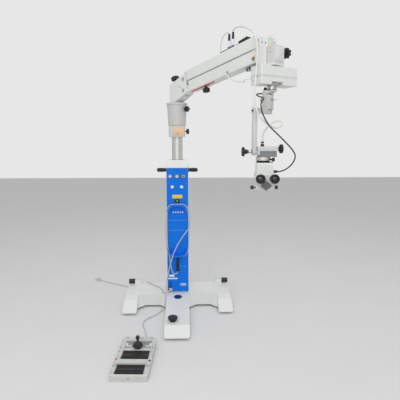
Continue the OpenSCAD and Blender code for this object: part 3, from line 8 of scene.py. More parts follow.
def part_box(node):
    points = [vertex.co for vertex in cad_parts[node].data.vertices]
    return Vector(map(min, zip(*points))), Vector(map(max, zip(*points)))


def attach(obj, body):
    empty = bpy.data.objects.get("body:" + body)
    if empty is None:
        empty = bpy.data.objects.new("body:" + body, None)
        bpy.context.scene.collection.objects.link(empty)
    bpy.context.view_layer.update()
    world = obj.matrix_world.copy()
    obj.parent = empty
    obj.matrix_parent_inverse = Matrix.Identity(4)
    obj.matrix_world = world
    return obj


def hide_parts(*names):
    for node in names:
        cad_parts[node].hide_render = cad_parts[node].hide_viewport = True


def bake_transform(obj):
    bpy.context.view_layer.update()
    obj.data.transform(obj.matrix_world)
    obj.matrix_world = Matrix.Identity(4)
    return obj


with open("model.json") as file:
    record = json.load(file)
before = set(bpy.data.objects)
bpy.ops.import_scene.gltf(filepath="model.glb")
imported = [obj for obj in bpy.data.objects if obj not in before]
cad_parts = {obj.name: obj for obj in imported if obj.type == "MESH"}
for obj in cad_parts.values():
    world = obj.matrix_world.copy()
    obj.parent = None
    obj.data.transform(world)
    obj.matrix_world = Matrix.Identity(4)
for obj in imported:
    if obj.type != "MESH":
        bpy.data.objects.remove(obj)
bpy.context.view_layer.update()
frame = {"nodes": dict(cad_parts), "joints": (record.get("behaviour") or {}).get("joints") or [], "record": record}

bl_info = {
    "name": "Surgical Microscope Dresser",
    "version": (1, 0, 0),
    "blender": (4, 5, 0),
    "location": "View3D > Sidebar > Microscope",
    "description": "Finishes, fittings and cables of a surgical microscope on a floor stand",
    "category": "Object",
}

MM = 0.001
JOINTS = {joint["name"]: joint for joint in frame["joints"]}


# ---------------------------------------------------------------- places taken from the frame

def low(node):
    return Vector(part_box(node)[0])


def high(node):
    return Vector(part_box(node)[1])


def middle(node):
    return (low(node) + high(node)) / 2


def pivot(joint):
    return Vector(JOINTS[joint]["pos_m"])


def axis(joint):
    return Vector(JOINTS[joint]["axis"]).normalized()


def frame_at(origin, along, up):
    """A matrix whose X runs along the first direction and whose Z is nearest to the second."""
    x = Vector(along).normalized()
    y = Vector(up).cross(x).normalized()
    z = x.cross(y)
    turn = Matrix((x, y, z)).transposed().to_4x4()
    return Matrix.Translation(origin) @ turn


UP = Vector((0, 0, 1))
WORLD = Matrix.Identity(4)
# the arm: X along the links, Y away from the viewer's side, Z over the links
ARM = frame_at(pivot("arm_lift"), pivot("head_level") - pivot("arm_lift"), UP)
LEVEL_ARM = (pivot("head_level") - pivot("arm_lift")).to_2d().normalized().to_3d()
LEVEL = frame_at((0, 0, 0), LEVEL_ARM, UP)
LINK = (pivot("head_level") - pivot("arm_lift")).length / MM
LOWER = frame_at(pivot("lower_arm_pivot"), pivot("head_level") - pivot("arm_lift"), UP)
UNIT = frame_at(pivot("slide_unit_swivel"), axis("y_travel"), UP)
# the hanger: X along its level arm, from the swivel axis
HANGER_TURN = radians(-130)
HUNG = Matrix.Translation((pivot("hanger_swivel").x, pivot("hanger_swivel").y, 0)) @ Matrix.Rotation(
    HANGER_TURN, 4, "Z")
# the foot switch: X across it, Y along it towards the column. Its own frame starts in the middle of its
# underside, where STICK is the gimbal of the joystick in millimetres
PEDAL = frame_at(pivot("joystick_forward"), axis("joystick_forward"), UP)
STICK = (8, 66, 38.88)
# the middle of the microscope in X and the top of the deck over the arm's links, in millimetres
SCOPE_X = 481.32
DECK_TOP = 49


# ---------------------------------------------------------------- sizes and colours

def tone(red, green, blue):
    """A colour as a screen shows it, from 0 to 255, in the light that a shader works in."""
    def to_light(c):
        c = c / 255
        return c / 12.92 if c <= 0.04045 else ((c + 0.055) / 1.055) ** 2.4
    return (to_light(red), to_light(green), to_light(blue))


def colour(name, description, value):
    return bpy.props.FloatVectorProperty(
        name=name, description=description, subtype="COLOR", size=3, min=0, max=1, default=value)


def length(name, description, value):
    return bpy.props.FloatProperty(
        name=name, description=description, subtype="DISTANCE", unit="LENGTH", min=0, default=value)


def angle(name, description, degrees):
    return bpy.props.FloatProperty(
        name=name, description=description, subtype="ANGLE", default=radians(degrees))


class PaintColours(bpy.types.PropertyGroup):
    white: colour("White", "Powder coat of the base, the arm and the microscope", tone(233, 235, 233))
    off_white: colour("Off white", "Powder coat of the column and the lamp housing", tone(214, 216, 214))
    pale: colour("Pale grey", "Paint of the collar and the cup on the mast", tone(206, 207, 204))
    grey: colour("Grey", "Paint of the hanger and the focusing slide", tone(132, 134, 136))
    blue: colour("Blue", "Front panel of the column", tone(0, 118, 232))
    orange: colour("Orange", "Bare strip under the arm", tone(226, 104, 38))
    # peach is the colour of a painted reflection of warm light on the collar's front, not the collar's own colour
    peach: colour("Peach", "Bare patch on the collar", tone(232, 196, 160))


class PlasticColours(bpy.types.PropertyGroup):
    black: colour("Black", "Knobs, handles and eyepieces", tone(26, 26, 28))
    cream: colour("Cream", "Turning knobs on the panel", tone(236, 228, 204))
    housing: colour("Housing", "Foot switch housing", tone(205, 207, 202))
    recess: colour("Recess", "Plate round the joystick", tone(142, 145, 142))
    tread: colour("Tread", "Rubber of the wheels and treads", tone(38, 38, 40))


class MetalColours(bpy.types.PropertyGroup):
    steel: colour("Steel", "Mast and slides", tone(188, 188, 186))
    bright: colour("Bright", "Anodised tubes and rings", tone(212, 210, 205))
    bronze: colour("Bronze", "Pins at the head of the arm", tone(176, 148, 104))


class CordColours(bpy.types.PropertyGroup):
    white: colour("White jacket", "Light guide and thin cable", tone(226, 226, 222))
    black: colour("Black jacket", "Camera cable", tone(24, 24, 26))
    grey: colour("Grey jacket", "Foot switch cable and mains cord", tone(196, 198, 198))


class PlaceOfCamera(bpy.types.PropertyGroup):
    side: length("Side", "Camera to the right of the mast axis", 0.0483)
    distance: length("Distance", "Camera in front of the mast axis", 2.9833)
    height: length("Height", "Camera above the floor", 1.187)
    pitch: angle("Pitch", "Camera turned down from level", 7.72)
    heading: angle("Heading", "Camera turned to the right", 2.3)


# ---------------------------------------------------------------- shader maths

class Field:
    """A shader socket that takes part in sums as a number does."""

    def __init__(self, finish, socket):
        self.finish = finish
        self.socket = socket

    def out(self, name):
        return Field(self.finish, self.socket.node.outputs[name])

    def maths(self, operation, *values):
        return self.finish.node("ShaderNodeMath", {"operation": operation}, dict(enumerate(values)))

    def __add__(self, other):
        return self.maths("ADD", self, other)

    __radd__ = __add__

    def __sub__(self, other):
        return self.maths("SUBTRACT", self, other)

    def __rsub__(self, other):
        return self.maths("SUBTRACT", other, self)

    def __mul__(self, other):
        return self.maths("MULTIPLY", self, other)

    __rmul__ = __mul__

    def __gt__(self, other):
        return self.maths("GREATER_THAN", self, other)

    def clipped(self, start, end):
        return self.finish.node(
            "ShaderNodeMapRange", {"interpolation_type": "SMOOTHSTEP"},
            {"Value": self, "From Min": start, "From Max": end})


class Finish:
    """A material that is built from nodes."""

    def __init__(self, name):
        self.material = bpy.data.materials.new(name)
        self.material.use_nodes = True
        self.tree = self.material.node_tree
        self.tree.nodes.clear()
        self.where = self.node("ShaderNodeTexCoord", {}, {}).out("Object")

    def node(self, kind, settings, inputs):
        made = self.tree.nodes.new(kind)
        for key, value in settings.items():
            setattr(made, key, value)
        for key, value in inputs.items():
            socket = made.inputs[key]
            if isinstance(value, Field):
                self.tree.links.new(value.socket, socket)
            elif socket.type == "RGBA" and len(value) == 3:
                socket.default_value = (*value, 1)
            else:
                socket.default_value = value
        return Field(self, made.outputs[0]) if made.outputs else None

    def noise(self, scale, detail=2.0, where=None, roughness=0.5):
        return self.node("ShaderNodeTexNoise", {}, {
            "Vector": where or self.where, "Scale": scale, "Detail": detail, "Roughness": roughness})

    def stretched(self, scale):
        return self.node("ShaderNodeMapping", {}, {"Vector": self.where, "Scale": scale})

    def mix(self, amount, first, second):
        made = self.tree.nodes.new("ShaderNodeMix")
        made.data_type = "RGBA"
        for socket, value in ((made.inputs[0], amount), (made.inputs[6], first), (made.inputs[7], second)):
            if isinstance(value, Field):
                self.tree.links.new(value.socket, socket)
            else:
                socket.default_value = (*value, 1) if socket.type == "RGBA" else value
        return Field(self, made.outputs[2])

    def rounded(self, radius):
        return self.node("ShaderNodeBevel", {"samples": 6}, {"Radius": radius})

    def edges(self, rounded):
        """1 along outer and inner edges, 0 on flat faces."""
        flat = self.node("ShaderNodeNewGeometry", {}, {}).out("Normal")
        same = self.node("ShaderNodeVectorMath", {"operation": "DOT_PRODUCT"}, {0: rounded, 1: flat})
        return (1 - same.out("Value")).clipped(0.01, 0.25)

    def bump(self, height, depth, normal=None, strength=1.0):
        inputs = {"Height": height, "Distance": depth, "Strength": strength}
        if normal is not None:
            inputs["Normal"] = normal
        return self.node("ShaderNodeBump", {}, inputs)

    def surface(self, base, roughness, metallic=0.0, normal=None, **fixed):
        inputs = {"Base Color": base, "Roughness": roughness, "Metallic": metallic}
        if normal is not None:
            inputs["Normal"] = normal
        inputs.update({name.replace("_", " "): value for name, value in fixed.items()})
        shader = self.node("ShaderNodeBsdfPrincipled", {}, inputs)
        self.node("ShaderNodeOutputMaterial", {}, {"Surface": shader})
        return self.material


def shade(base, factor):
    return tuple(min(1.0, c * factor) for c in base)


def paint(name, base, roughness=0.36, wear=0.35, peel=1.0, coat=0.12, index=1.45):
    """Powder coat: fine orange peel, patches of handling, edges rubbed a little thin."""
    finish = Finish(name)
    cloud = finish.noise(5.0, 4.0).clipped(0.42, 0.75)
    streaks = finish.noise(1.0, 3.0, finish.stretched((60, 60, 3))).clipped(0.55, 0.8)
    rounded = finish.rounded(0.0016)
    rubbed = finish.edges(rounded) * finish.noise(90.0, 3.0).clipped(0.48, 0.62)
    body = finish.mix(cloud * 0.5, base, shade(base, 0.93))
    body = finish.mix(streaks * 0.18, body, shade(base, 0.86))
    body = finish.mix(rubbed * wear, body, shade(base, 0.62))
    grain = finish.noise(1100.0, 2.0) + finish.noise(320.0, 1.0) * 0.8
    normal = finish.bump(grain, 0.00006 * peel, rounded, 0.55)
    return finish.surface(body, roughness + cloud * 0.10 + rubbed * 0.12, 0.0, normal, Coat_Weight=coat,
                          Coat_Roughness=0.25, IOR=index)


def moulded(name, base, roughness=0.45, grain_scale=1500.0, depth=0.00005, dust=0.25):
    """Moulded plastic: spark-eroded grain, dust in hollows, corners polished by hands."""
    finish = Finish(name)
    rounded = finish.rounded(0.0009)
    edge = finish.edges(rounded)
    patch = finish.noise(24.0, 4.0).clipped(0.45, 0.7)
    body = finish.mix(patch * dust, base, tuple(c * 0.8 + 0.012 for c in base))
    body = finish.mix(edge * 0.35, body, tuple(c * 0.85 + 0.03 for c in base))
    normal = finish.bump(finish.noise(grain_scale, 2.0), depth, rounded, 0.8)
    return finish.surface(body, roughness + patch * 0.12 - edge * 0.08, 0.0, normal)


def rubber(name, base):
    finish = Finish(name)
    rounded = finish.rounded(0.0012)
    dust = finish.noise(40.0, 5.0).clipped(0.5, 0.72)
    body = finish.mix(dust * 0.4, base, tuple(c * 0.7 + 0.05 for c in base))
    normal = finish.bump(finish.noise(700.0, 3.0), 0.00008, rounded, 0.7)
    return finish.surface(body, 0.72 + dust * 0.15, 0.0, normal)


def brushed(name, base, along=(1, 1, 1), roughness=0.26, scratches=1.0):
    """Turned or ground metal: fine lines across the length, a few longer scratches."""
    finish = Finish(name)
    rounded = finish.rounded(0.0006)
    lines = finish.noise(1.0, 3.0, finish.stretched(tuple(900 * a + 4 for a in along)))
    blotch = finish.noise(12.0, 3.0).clipped(0.4, 0.7)
    body = finish.mix(lines * 0.3, base, shade(base, 0.72))
    body = finish.mix(blotch * 0.2, body, shade(base, 0.8))
    normal = finish.bump(lines, 0.00003 * scratches, rounded, 0.6)
    return finish.surface(body, roughness + lines * 0.14 + blotch * 0.06, 1.0, normal)


def jacket(name, base, roughness=0.42):
    """Cord jacket: extruded skin with faint die lines and grubby patches."""
    finish = Finish(name)
    grime = finish.noise(9.0, 5.0).clipped(0.45, 0.75)
    speck = finish.noise(260.0, 2.0).clipped(0.62, 0.72)
    body = finish.mix(grime * 0.35, base, shade(base, 0.8))
    body = finish.mix(speck * 0.25, body, shade(base, 0.7))
    normal = finish.bump(finish.noise(500.0, 2.0), 0.00004, None, 0.6)
    return finish.surface(body, roughness + grime * 0.15, 0.0, normal)


def enamel(name, base, roughness=0.3):
    """A printed or enamelled plate, slightly uneven, with a dulled rim."""
    finish = Finish(name)
    rounded = finish.rounded(0.0004)
    mottle = finish.noise(140.0, 4.0).clipped(0.45, 0.7)
    body = finish.mix(mottle * 0.2, base, shade(base, 0.85))
    body = finish.mix(finish.edges(rounded) * 0.4, body, shade(base, 0.6))
    return finish.surface(body, roughness + mottle * 0.12, 0.0, finish.bump(mottle, 0.00002, rounded, 0.5))


def lamp_lens(name, base, glow):
    finish = Finish(name)
    ripple = finish.noise(300.0, 1.0)
    body = finish.mix(ripple * 0.4, base, shade(base, 0.7))
    normal = finish.bump(ripple, 0.00002)
    return finish.surface(body, 0.12 + ripple * 0.06, 0.0, normal, Emission_Color=(*base, 1),
                          Emission_Strength=glow, Coat_Weight=0.5)


def coated_glass(name, base):
    """A lens under its dark coating: glossy, with a faint bloom."""
    finish = Finish(name)
    bloom = finish.noise(30.0, 2.0)
    body = finish.mix(bloom * 0.5, base, shade(base, 2.2))
    return finish.surface(body, 0.04 + bloom * 0.03, 0.0, None, Coat_Weight=1.0, Coat_Roughness=0.02, IOR=1.6)


def make_finishes(scene):
    paints, plastics = scene.microscope_paint, scene.microscope_plastic
    metals, cords = scene.microscope_metal, scene.microscope_cord
    return {
        "white_paint": paint("white_paint", paints.white),
        "grey_white_paint": paint("grey_white_paint", paints.off_white, 0.42),
        "light_grey_paint": paint("light_grey_paint", paints.pale, 0.4),
        "grey_paint": paint("grey_paint", paints.grey, 0.45, 0.5),
        "blue_panel": paint("blue_panel", paints.blue, 0.42, 0.3, 0.6, 0.0, 1.3),
        "steel": brushed("steel", metals.steel, (0, 0, 1)),
        "bright_tube": brushed("bright_tube", metals.bright, (0, 0, 1), 0.38, 0.6),
        "brass_plate": brushed("brass_plate", metals.bronze, (1, 1, 0)),
        "fork_steel": brushed("fork_steel", shade(metals.steel, 0.7), (1, 1, 1), 0.34, 2.0),
        "caster_tread": rubber("caster_tread", plastics.tread),
        "black_plastic": moulded("black_plastic", plastics.black),
        "cream_plastic": moulded("cream_plastic", plastics.cream, 0.3, 900.0, 0.00002, 0.15),
        "grey_plastic": moulded("grey_plastic", plastics.housing, 0.5, 800.0, 0.00008, 0.5),
        "white_cord": jacket("white_cord", cords.white),
        "black_cord": jacket("black_cord", cords.black, 0.5),
        "grey_cord": jacket("grey_cord", cords.grey),
        "recess_plate": moulded("recess_plate", plastics.recess, 0.55, 600.0, 0.00008, 0.4),
        "orange_plate": enamel("orange_plate", paints.orange),
        # the peach plate is a painted reflection on the collar, laid on as a thin plate
        "painted_reflection_plate": enamel("painted_reflection_plate", paints.peach),
        "white_plate": enamel("white_plate", tone(236, 238, 240)),
        "yellow_plate": enamel("yellow_plate", tone(238, 206, 62)),
        "navy_plate": enamel("navy_plate", tone(28, 42, 66), 0.2),
        "lavender_plate": enamel("lavender_plate", tone(170, 190, 232)),
        "red_cap": moulded("red_cap", tone(186, 34, 30), 0.3),
        "green_lamp": lamp_lens("green_lamp", tone(70, 220, 90), 0.6),
        "blue_lamp": lamp_lens("blue_lamp", tone(60, 150, 255), 0.6),
        "yellow_lamp": lamp_lens("yellow_lamp", tone(255, 214, 70), 0.6),
        "lens": coated_glass("lens", tone(13, 15, 19)),
        # a grey plate of painted shade: the shadow under the binocular housing between the eyepieces
        "painted_shade_diamond": moulded("painted_shade_diamond", tone(104, 105, 101), 0.4, 900.0, 0.00003, 0.3),
        "dark_gap": rubber("dark_gap", tone(16, 16, 18)),
    }


# ---------------------------------------------------------------- modelling steps

FINISHES = {}
SMOOTH_UNDER = radians(32)


def deselect():
    if bpy.context.object and bpy.context.object.mode != "OBJECT":
        bpy.ops.object.mode_set(mode="OBJECT")
    bpy.ops.object.select_all(action="DESELECT")


def pick_only(obj):
    deselect()
    obj.select_set(True)
    bpy.context.view_layer.objects.active = obj


def pick_edges(obj, wanted):
    """In edit mode, selects the edges that a test on both ends picks."""
    bpy.ops.mesh.select_mode(type="EDGE")
    bpy.ops.mesh.select_all(action="DESELECT")
    bpy.ops.object.mode_set(mode="OBJECT")
    points = obj.data.vertices
    for edge in obj.data.edges:
        edge.select = bool(wanted(*(points[v].co for v in edge.vertices)))
    bpy.ops.object.mode_set(mode="EDIT")


def turned(profile, sides=40, closed=True):
    """A lathe-turned shape on Z: a disc, then one extrusion and scaling for each ring."""
    deselect()
    radius, height = profile[0]
    bpy.ops.mesh.primitive_circle_add(
        vertices=sides, radius=radius, fill_type="NGON" if closed else "NOTHING", location=(0, 0, height))
    obj = bpy.context.object
    bpy.ops.object.transform_apply(location=True)
    bpy.ops.object.mode_set(mode="EDIT")
    bpy.ops.mesh.select_all(action="SELECT")
    for next_radius, next_height in profile[1:]:
        rise = (0, 0, next_height - height)
        if closed:
            bpy.ops.mesh.extrude_region_move(TRANSFORM_OT_translate={"value": rise})
        else:
            bpy.ops.mesh.extrude_edges_move(TRANSFORM_OT_translate={"value": rise})
        grow = next_radius / radius
        bpy.ops.transform.resize(value=(grow, grow, 1), center_override=(0, 0, next_height))
        radius, height = next_radius, next_height
    bpy.ops.mesh.select_all(action="SELECT")
    bpy.ops.mesh.remove_doubles(threshold=1e-6)
    bpy.ops.mesh.normals_make_consistent(inside=False)
    bpy.ops.object.mode_set(mode="OBJECT")
    return obj


def ring(inner, outer, height, sides=40, soft=0.2):
    """A flat washer on Z with broken edges, standing on Z = 0."""
    edge = min((outer - inner) * soft, height * soft)
    obj = turned([(inner + edge, 0), (outer - edge, 0), (outer, edge), (outer, height - edge),
                  (outer - edge, height), (inner + edge, height), (inner, height - edge), (inner, edge),
                  (inner + edge, 0)], sides, closed=False)
    return obj


def slab(width, depth, height, corner=0.0, edge=0.0, steps=4):
    """A plate or block on Z = 0 with rounded corners and broken upper edges."""
    deselect()
    bpy.ops.mesh.primitive_cube_add(size=1, location=(0, 0, height / 2))
    obj = bpy.context.object
    obj.scale = (width, depth, height)
    bpy.ops.object.transform_apply(location=True, scale=True)
    bpy.ops.object.mode_set(mode="EDIT")
    if corner:
        pick_edges(obj, lambda a, b: abs(a.z - b.z) > height / 2)
        bpy.ops.mesh.bevel(offset=corner, offset_type="OFFSET", segments=steps)
    if edge:
        pick_edges(obj, lambda a, b: a.z > height * 0.999 and b.z > height * 0.999)
        bpy.ops.mesh.bevel(offset=edge, offset_type="OFFSET", segments=2)
    bpy.ops.object.mode_set(mode="OBJECT")
    return obj


def carved(obj, cutter):
    """Takes the second shape out of the first with a Boolean cut."""
    pick_only(obj)
    modifier = obj.modifiers.new("cut", "BOOLEAN")
    modifier.object = cutter
    modifier.operation = "DIFFERENCE"
    modifier.solver = "EXACT"
    bpy.ops.object.modifier_apply(modifier=modifier.name)
    bpy.data.objects.remove(cutter)
    return obj


def cross_slot(obj, width, length, depth):
    """Sinks a screwdriver slot into the top of a turned head."""
    top = max(v.co.z for v in obj.data.vertices)
    deselect()
    bpy.ops.mesh.primitive_cube_add(size=1, location=(0, 0, top))
    cutter = bpy.context.object
    cutter.scale = (length, width, 2 * depth)
    bpy.ops.object.transform_apply(location=True, scale=True)
    return carved(obj, cutter)


def screw(radius, height):
    """A pan-head screw with its slot."""
    head = turned([(radius, 0), (radius, height * 0.5), (radius * 0.9, height * 0.85),
                   (radius * 0.6, height)], 20)
    return cross_slot(head, radius * 0.28, radius * 3, height * 0.35)


def put(obj, place):
    """Lays a piece made at the origin in its place, and keeps the place in its mesh."""
    pick_only(obj)
    obj.matrix_world = place
    bpy.ops.object.transform_apply(location=True, rotation=True, scale=True)
    return obj


def copies(obj, places):
    """The same shape at many places, each with its own mesh, joined to one piece."""
    made = []
    for place in places:
        twin = obj.copy()
        twin.data = obj.data.copy()
        bpy.context.collection.objects.link(twin)
        made.append(put(twin, place))
    bpy.data.objects.remove(obj)
    return joined(made)


def joined(parts):
    pick_only(parts[0])
    for part in parts:
        part.select_set(True)
    if len(parts) > 1:
        bpy.ops.object.join()
    return bpy.context.object


def dress(obj, name, body, finish, smooth=SMOOTH_UNDER):
    """Names a piece, gives it its finish and lets it ride on its body."""
    pick_only(obj)
    obj.name = name
    obj.data.name = name
    if smooth:
        bpy.ops.object.shade_smooth_by_angle(angle=smooth)
    obj.data.materials.clear()
    obj.data.materials.append(FINISHES[finish])
    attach(obj, body)
    return obj


def fit(shape, place, name, body, finish):
    """A finished piece from a shape at one place, or from copies of it at several."""
    obj = put(shape, place) if isinstance(place, Matrix) else copies(shape, place)
    return dress(obj, name, body, finish)


FACING_FRONT = Matrix.Rotation(pi / 2, 4, "X")
FACING_BACK = Matrix.Rotation(-pi / 2, 4, "X")
FACING_RIGHT = Matrix.Rotation(pi / 2, 4, "Y")
FACING_LEFT = Matrix.Rotation(-pi / 2, 4, "Y")
FACING_DOWN = Matrix.Rotation(pi, 4, "X")


def at(x, y, z, turn=Matrix.Identity(4)):
    return Matrix.Translation((x, y, z)) @ turn


def on_panel(x_share, z_share, proud=0.0):
    """A place on the blue panel: shares of its width from the middle and of its height."""
    panel_low, panel_high = low("column_panel"), high("column_panel")
    return at(x_share * (panel_high.x - panel_low.x),
              PANEL_FACE - proud, panel_low.z + z_share * (panel_high.z - panel_low.z), FACING_FRONT)


PANEL_FACE = pivot("panel_knob_left").y
# the two dials and the socket in one row, as shares of the panel's width and height
DIALS, DIAL_ROW = (-0.335, -0.017, 0.287), 0.937


# ---------------------------------------------------------------- cables

def smoothed(points, steps=5):
    """Points along a curve that passes through the route's own points."""
    found = []
    last = len(points) - 1
    for i in range(last):
        a, b, c, d = (Vector(points[max(0, min(last, i + k))]) for k in (-1, 0, 1, 2))
        for step in range(steps):
            s = step / steps
            found.append(0.5 * (2 * b + (c - a) * s + (2 * a - 5 * b + 4 * c - d) * s * s
                                + (3 * b - a - 3 * c + d) * s * s * s))
    found.append(Vector(points[last]))
    return found


def cable(name, points, diameter, finish):
    """A cable as a curve of one open spline with a round section."""
    line = bpy.data.curves.new(name, "CURVE")
    line.dimensions = "3D"
    line.bevel_depth = diameter / 2
    line.bevel_resolution = 4
    line.use_fill_caps = True
    spline = line.splines.new("POLY")
    spline.points.add(len(points) - 1)
    for point, co in zip(spline.points, points):
        point.co = (*co, 1)
    spline.use_smooth = True
    obj = bpy.data.objects.new(name, line)
    bpy.context.collection.objects.link(obj)
    line.materials.append(FINISHES[finish])
    return obj


def crossing(name, points, diameter, finish, spans):
    """A cable held at both ends that crosses joints: one mesh for each joint."""
    made = []
    for number, (first, last, body_a, body_b) in enumerate(spans):
        part = points[first:last + 1]
        obj = cable(f"{name}_{number + 1}", part, diameter, finish)
        pick_only(obj)
        bpy.ops.object.convert(target="MESH")
        obj = bpy.context.object
        obj.name = f"{name}_{number + 1}"
        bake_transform(obj)
        made.append((obj, part))
    return made


# ---------------------------------------------------------------- operators

class MICROSCOPE_OT_stage(bpy.types.Operator):
    """Adds the camera, the floor and the studio light"""
    bl_idname = "microscope.stage"
    bl_label = "Stage"

    floor_size: length("Floor size", "Width of the floor", 24.0)
    key_power: bpy.props.FloatProperty(
        name="Key power", description="Power of the large lamp in front", default=58, unit="POWER")
    top_power: bpy.props.FloatProperty(
        name="Top power", description="Power of the lamp overhead", default=32, unit="POWER")
    world_level: bpy.props.FloatProperty(
        name="World level", description="Strength of the even light all round", default=0.68)

    def execute(self, context):
        place = context.scene.microscope_camera
        data = bpy.data.cameras.new("camera")
        data.sensor_width = 36
        data.lens = 36
        camera = bpy.data.objects.new("camera", data)
        camera.location = (place.side, -place.distance, place.height)
        camera.rotation_euler = (pi / 2 - place.pitch, 0, -place.heading)
        context.collection.objects.link(camera)
        context.scene.camera = camera
        context.scene.view_settings.view_transform = "Standard"

        deselect()
        bpy.ops.mesh.primitive_plane_add(size=self.floor_size)
        floor = context.object
        floor.name = "floor"
        floor.data.materials.append(self.floor_finish())

        self.lamp("key", self.key_power, 3.2, (-0.3, -4.0, 2.7), (0.1, -0.3, 0.9))
        self.lamp("top", self.top_power, 3.0, (0.4, -0.6, 4.2), (0.2, -0.3, 0.6))
        self.world(context.scene)
        return {"FINISHED"}

    def lamp(self, name, power, size, place, target):
        data = bpy.data.lights.new(name, "AREA")
        data.energy = power
        data.size = size
        lamp = bpy.data.objects.new(name, data)
        lamp.location = place
        lamp.rotation_euler = (Vector(target) - Vector(place)).to_track_quat("-Z", "Y").to_euler()
        bpy.context.collection.objects.link(lamp)

    def floor_finish(self):
        finish = Finish("floor")
        speckle = finish.noise(3.0, 4.0)
        body = finish.mix(speckle, tone(226, 226, 226), tone(232, 232, 232))
        lit = finish.node("ShaderNodeBsdfPrincipled", {}, {"Base Color": body, "Roughness": 0.9})
        finish.node("ShaderNodeOutputMaterial", {}, {"Surface": lit})
        return finish.material

    def world(self, scene):
        scene.world = bpy.data.worlds.new("studio")
        scene.world.use_nodes = True
        tree = scene.world.node_tree
        tree.nodes.clear()
        rays = tree.nodes.new("ShaderNodeLightPath")
        seen = rays.outputs["Is Camera Ray"]
        for ray in ("Is Glossy Ray", "Is Transmission Ray"):
            either = tree.nodes.new("ShaderNodeMath")
            either.operation = "MAXIMUM"
            tree.links.new(seen, either.inputs[0])
            tree.links.new(rays.outputs[ray], either.inputs[1])
            seen = either.outputs[0]
        level = tree.nodes.new("ShaderNodeMapRange")
        level.inputs["To Min"].default_value = self.world_level
        level.inputs["To Max"].default_value = 1.0
        tree.links.new(seen, level.inputs["Value"])
        background = tree.nodes.new("ShaderNodeBackground")
        tree.links.new(level.outputs[0], background.inputs["Strength"])
        output = tree.nodes.new("ShaderNodeOutputWorld")
        tree.links.new(background.outputs[0], output.inputs["Surface"])


class MICROSCOPE_OT_finishes(bpy.types.Operator):
    """Makes every finish and gives each CAD node the finish of its material slot"""
    bl_idname = "microscope.finishes"
    bl_label = "Finishes"

    def execute(self, context):
        FINISHES.update(make_finishes(context.scene))
        for part in frame["record"]["subparts"]:
            node = frame["nodes"][part["node"]]
            for place in node.material_slots:
                place.material = FINISHES[part["material_slot"]]
        return {"FINISHED"}


def metres(points):
    return [tuple(c * MM for c in p) for p in points]


def hanger_point(x, y, z):
    """A point in the hanger's own frame, in millimetres, as a point of a route."""
    centre = pivot("hanger_swivel")
    c, s = cos(HANGER_TURN), sin(HANGER_TURN)
    return (centre.x / MM + x * c - y * s, centre.y / MM + x * s + y * c, z)


def arm_point(x, y, z):
    """A point in the level frame of the arm, in millimetres, as a point of a route."""
    along, away = LEVEL_ARM, UP.cross(LEVEL_ARM)
    return (along.x * x + away.x * y, along.y * x + away.y * y, z)


def winding_points():
    """The foot switch cable's turns round the two saddles, as the CAD source winds them."""
    turns, start, count = 1.6, 225, 38
    half_width, half_height, centre = 77, 194.3, 569
    panel, thick = PANEL_FACE / MM, 7
    # how far one turn lies outside the turn before, in x, y and z
    wider, nearer, taller = 9, 10, thick * 0.3
    found = []
    for i in range(count + 1):
        u = turns * i / count
        a = radians(start - 360 * u)
        c, s = cos(a), sin(a)
        found.append(((half_width + wider * u) * abs(c) ** 0.5 * (1 if c > 0 else -1),
                      panel - thick * 1.3 - nearer * u,
                      centre + (half_height + taller * u) * abs(s) ** 0.5 * (1 if s > 0 else -1)))
    return found


# routes of the cables in millimetres: THIN in the level frame of the arm, TOP_LEAD from a point of that
# frame, the others from the mast's foot
LEAD = [(-1.9, -92.5, 261), (-1.9, -92.5, 254), (-6, -95, 246), (-16, -98, 240), (-30, -98, 243),
    (-42, -98, 262), (-51, -97, 300), (-58, -95, 345), (-61, -93, 376)]
RUN = [(85, -111, 596), (67, -115, 568), (38, -119, 530), (0, -123, 470), (-30, -126, 405),
    (-53, -128, 330), (-72, -130, 250), (-84, -133, 180), (-88, -138, 135), (-90, -147, 104),
    (-93, -160, 72), (-97, -174, 38), (-106, -193, 12), (-125, -228, 4), (-165, -295, 4), (-212, -350, 4),
    (-232, -415, 4), (-214, -500, 4), (-196, -580, 4), (-191, -640, 10), (-191, -670, 22),
    (-191, -690, 26)]
MAINS = [(-56.16, -85.7, 116.67), (-56.16, -99.7, 116.67), (-60, -114, 116), (-71, -125, 114),
    (-85, -129, 111), (-99, -125, 107), (-110, -114, 104), (-114, -99, 102), (-116, -66, 101),
    (-124, -35, 101), (-141, 0, 101), (-172, 42, 101), (-215, 91, 101), (-241, 118, 101),
    (-248, 131, 101), (-254, 144, 95), (-259, 153, 82), (-262, 158, 62), (-266, 162, 40), (-273, 170, 22),
    (-286, 184, 9), (-310, 206, 4), (-400, 276, 4), (-480, 330, 4), (-560, 380, 4), (-640, 428, 6),
    (-687.9, 455, 11.2), (-700, 462, 11.2)]
GUIDE = [(354.7, -422.7, 1879), (354.7, -422.7, 1889), (371.9, -446.5, 1900.2), (394.9, -487.5, 1894.2),
    (420.9, -544.5, 1870.2), (442.9, -599.5, 1838.2), (453.9, -654.5, 1793.2), (454.9, -709.5, 1722.2),
    (445.9, -756.5, 1638.2), (431.9, -799.5, 1545.2), (419.9, -837.5, 1455.2), (424.9, -857.5, 1390.2),
    (447.9, -867.5, 1338.2), (486.9, -869.5, 1300.2), (529.9, -861.5, 1281.2), (562.9, -847.5, 1290.2),
    (571.9, -835.5, 1308.2), (557.9, -827.5, 1320.2), (531.9, -821.5, 1314.2), (502.9, -816.5, 1291.2),
    (481.9, -813.5, 1262.2), (473.9, -811.5, 1236.2), (473.6, -812.5, 1219.2), (473.6, -812.5, 1209.2)]
CAMERA = [(479.9, -789.5, 1440.2), (457.9, -829.5, 1406.2), (461.9, -867.5, 1351.2),
    (491.9, -892.5, 1290.2), (532.9, -899.5, 1248.2), (574.9, -891.5, 1210.2), (621.9, -875.5, 1165.2),
    (641.9, -859.5, 1130.2), (633.9, -837.5, 1092.2), (607.9, -807.5, 1060.2), (579.9, -787.5, 1046.2),
    (559.3, -786.5, 1045.4), (545.3, -786.5, 1045.4)]
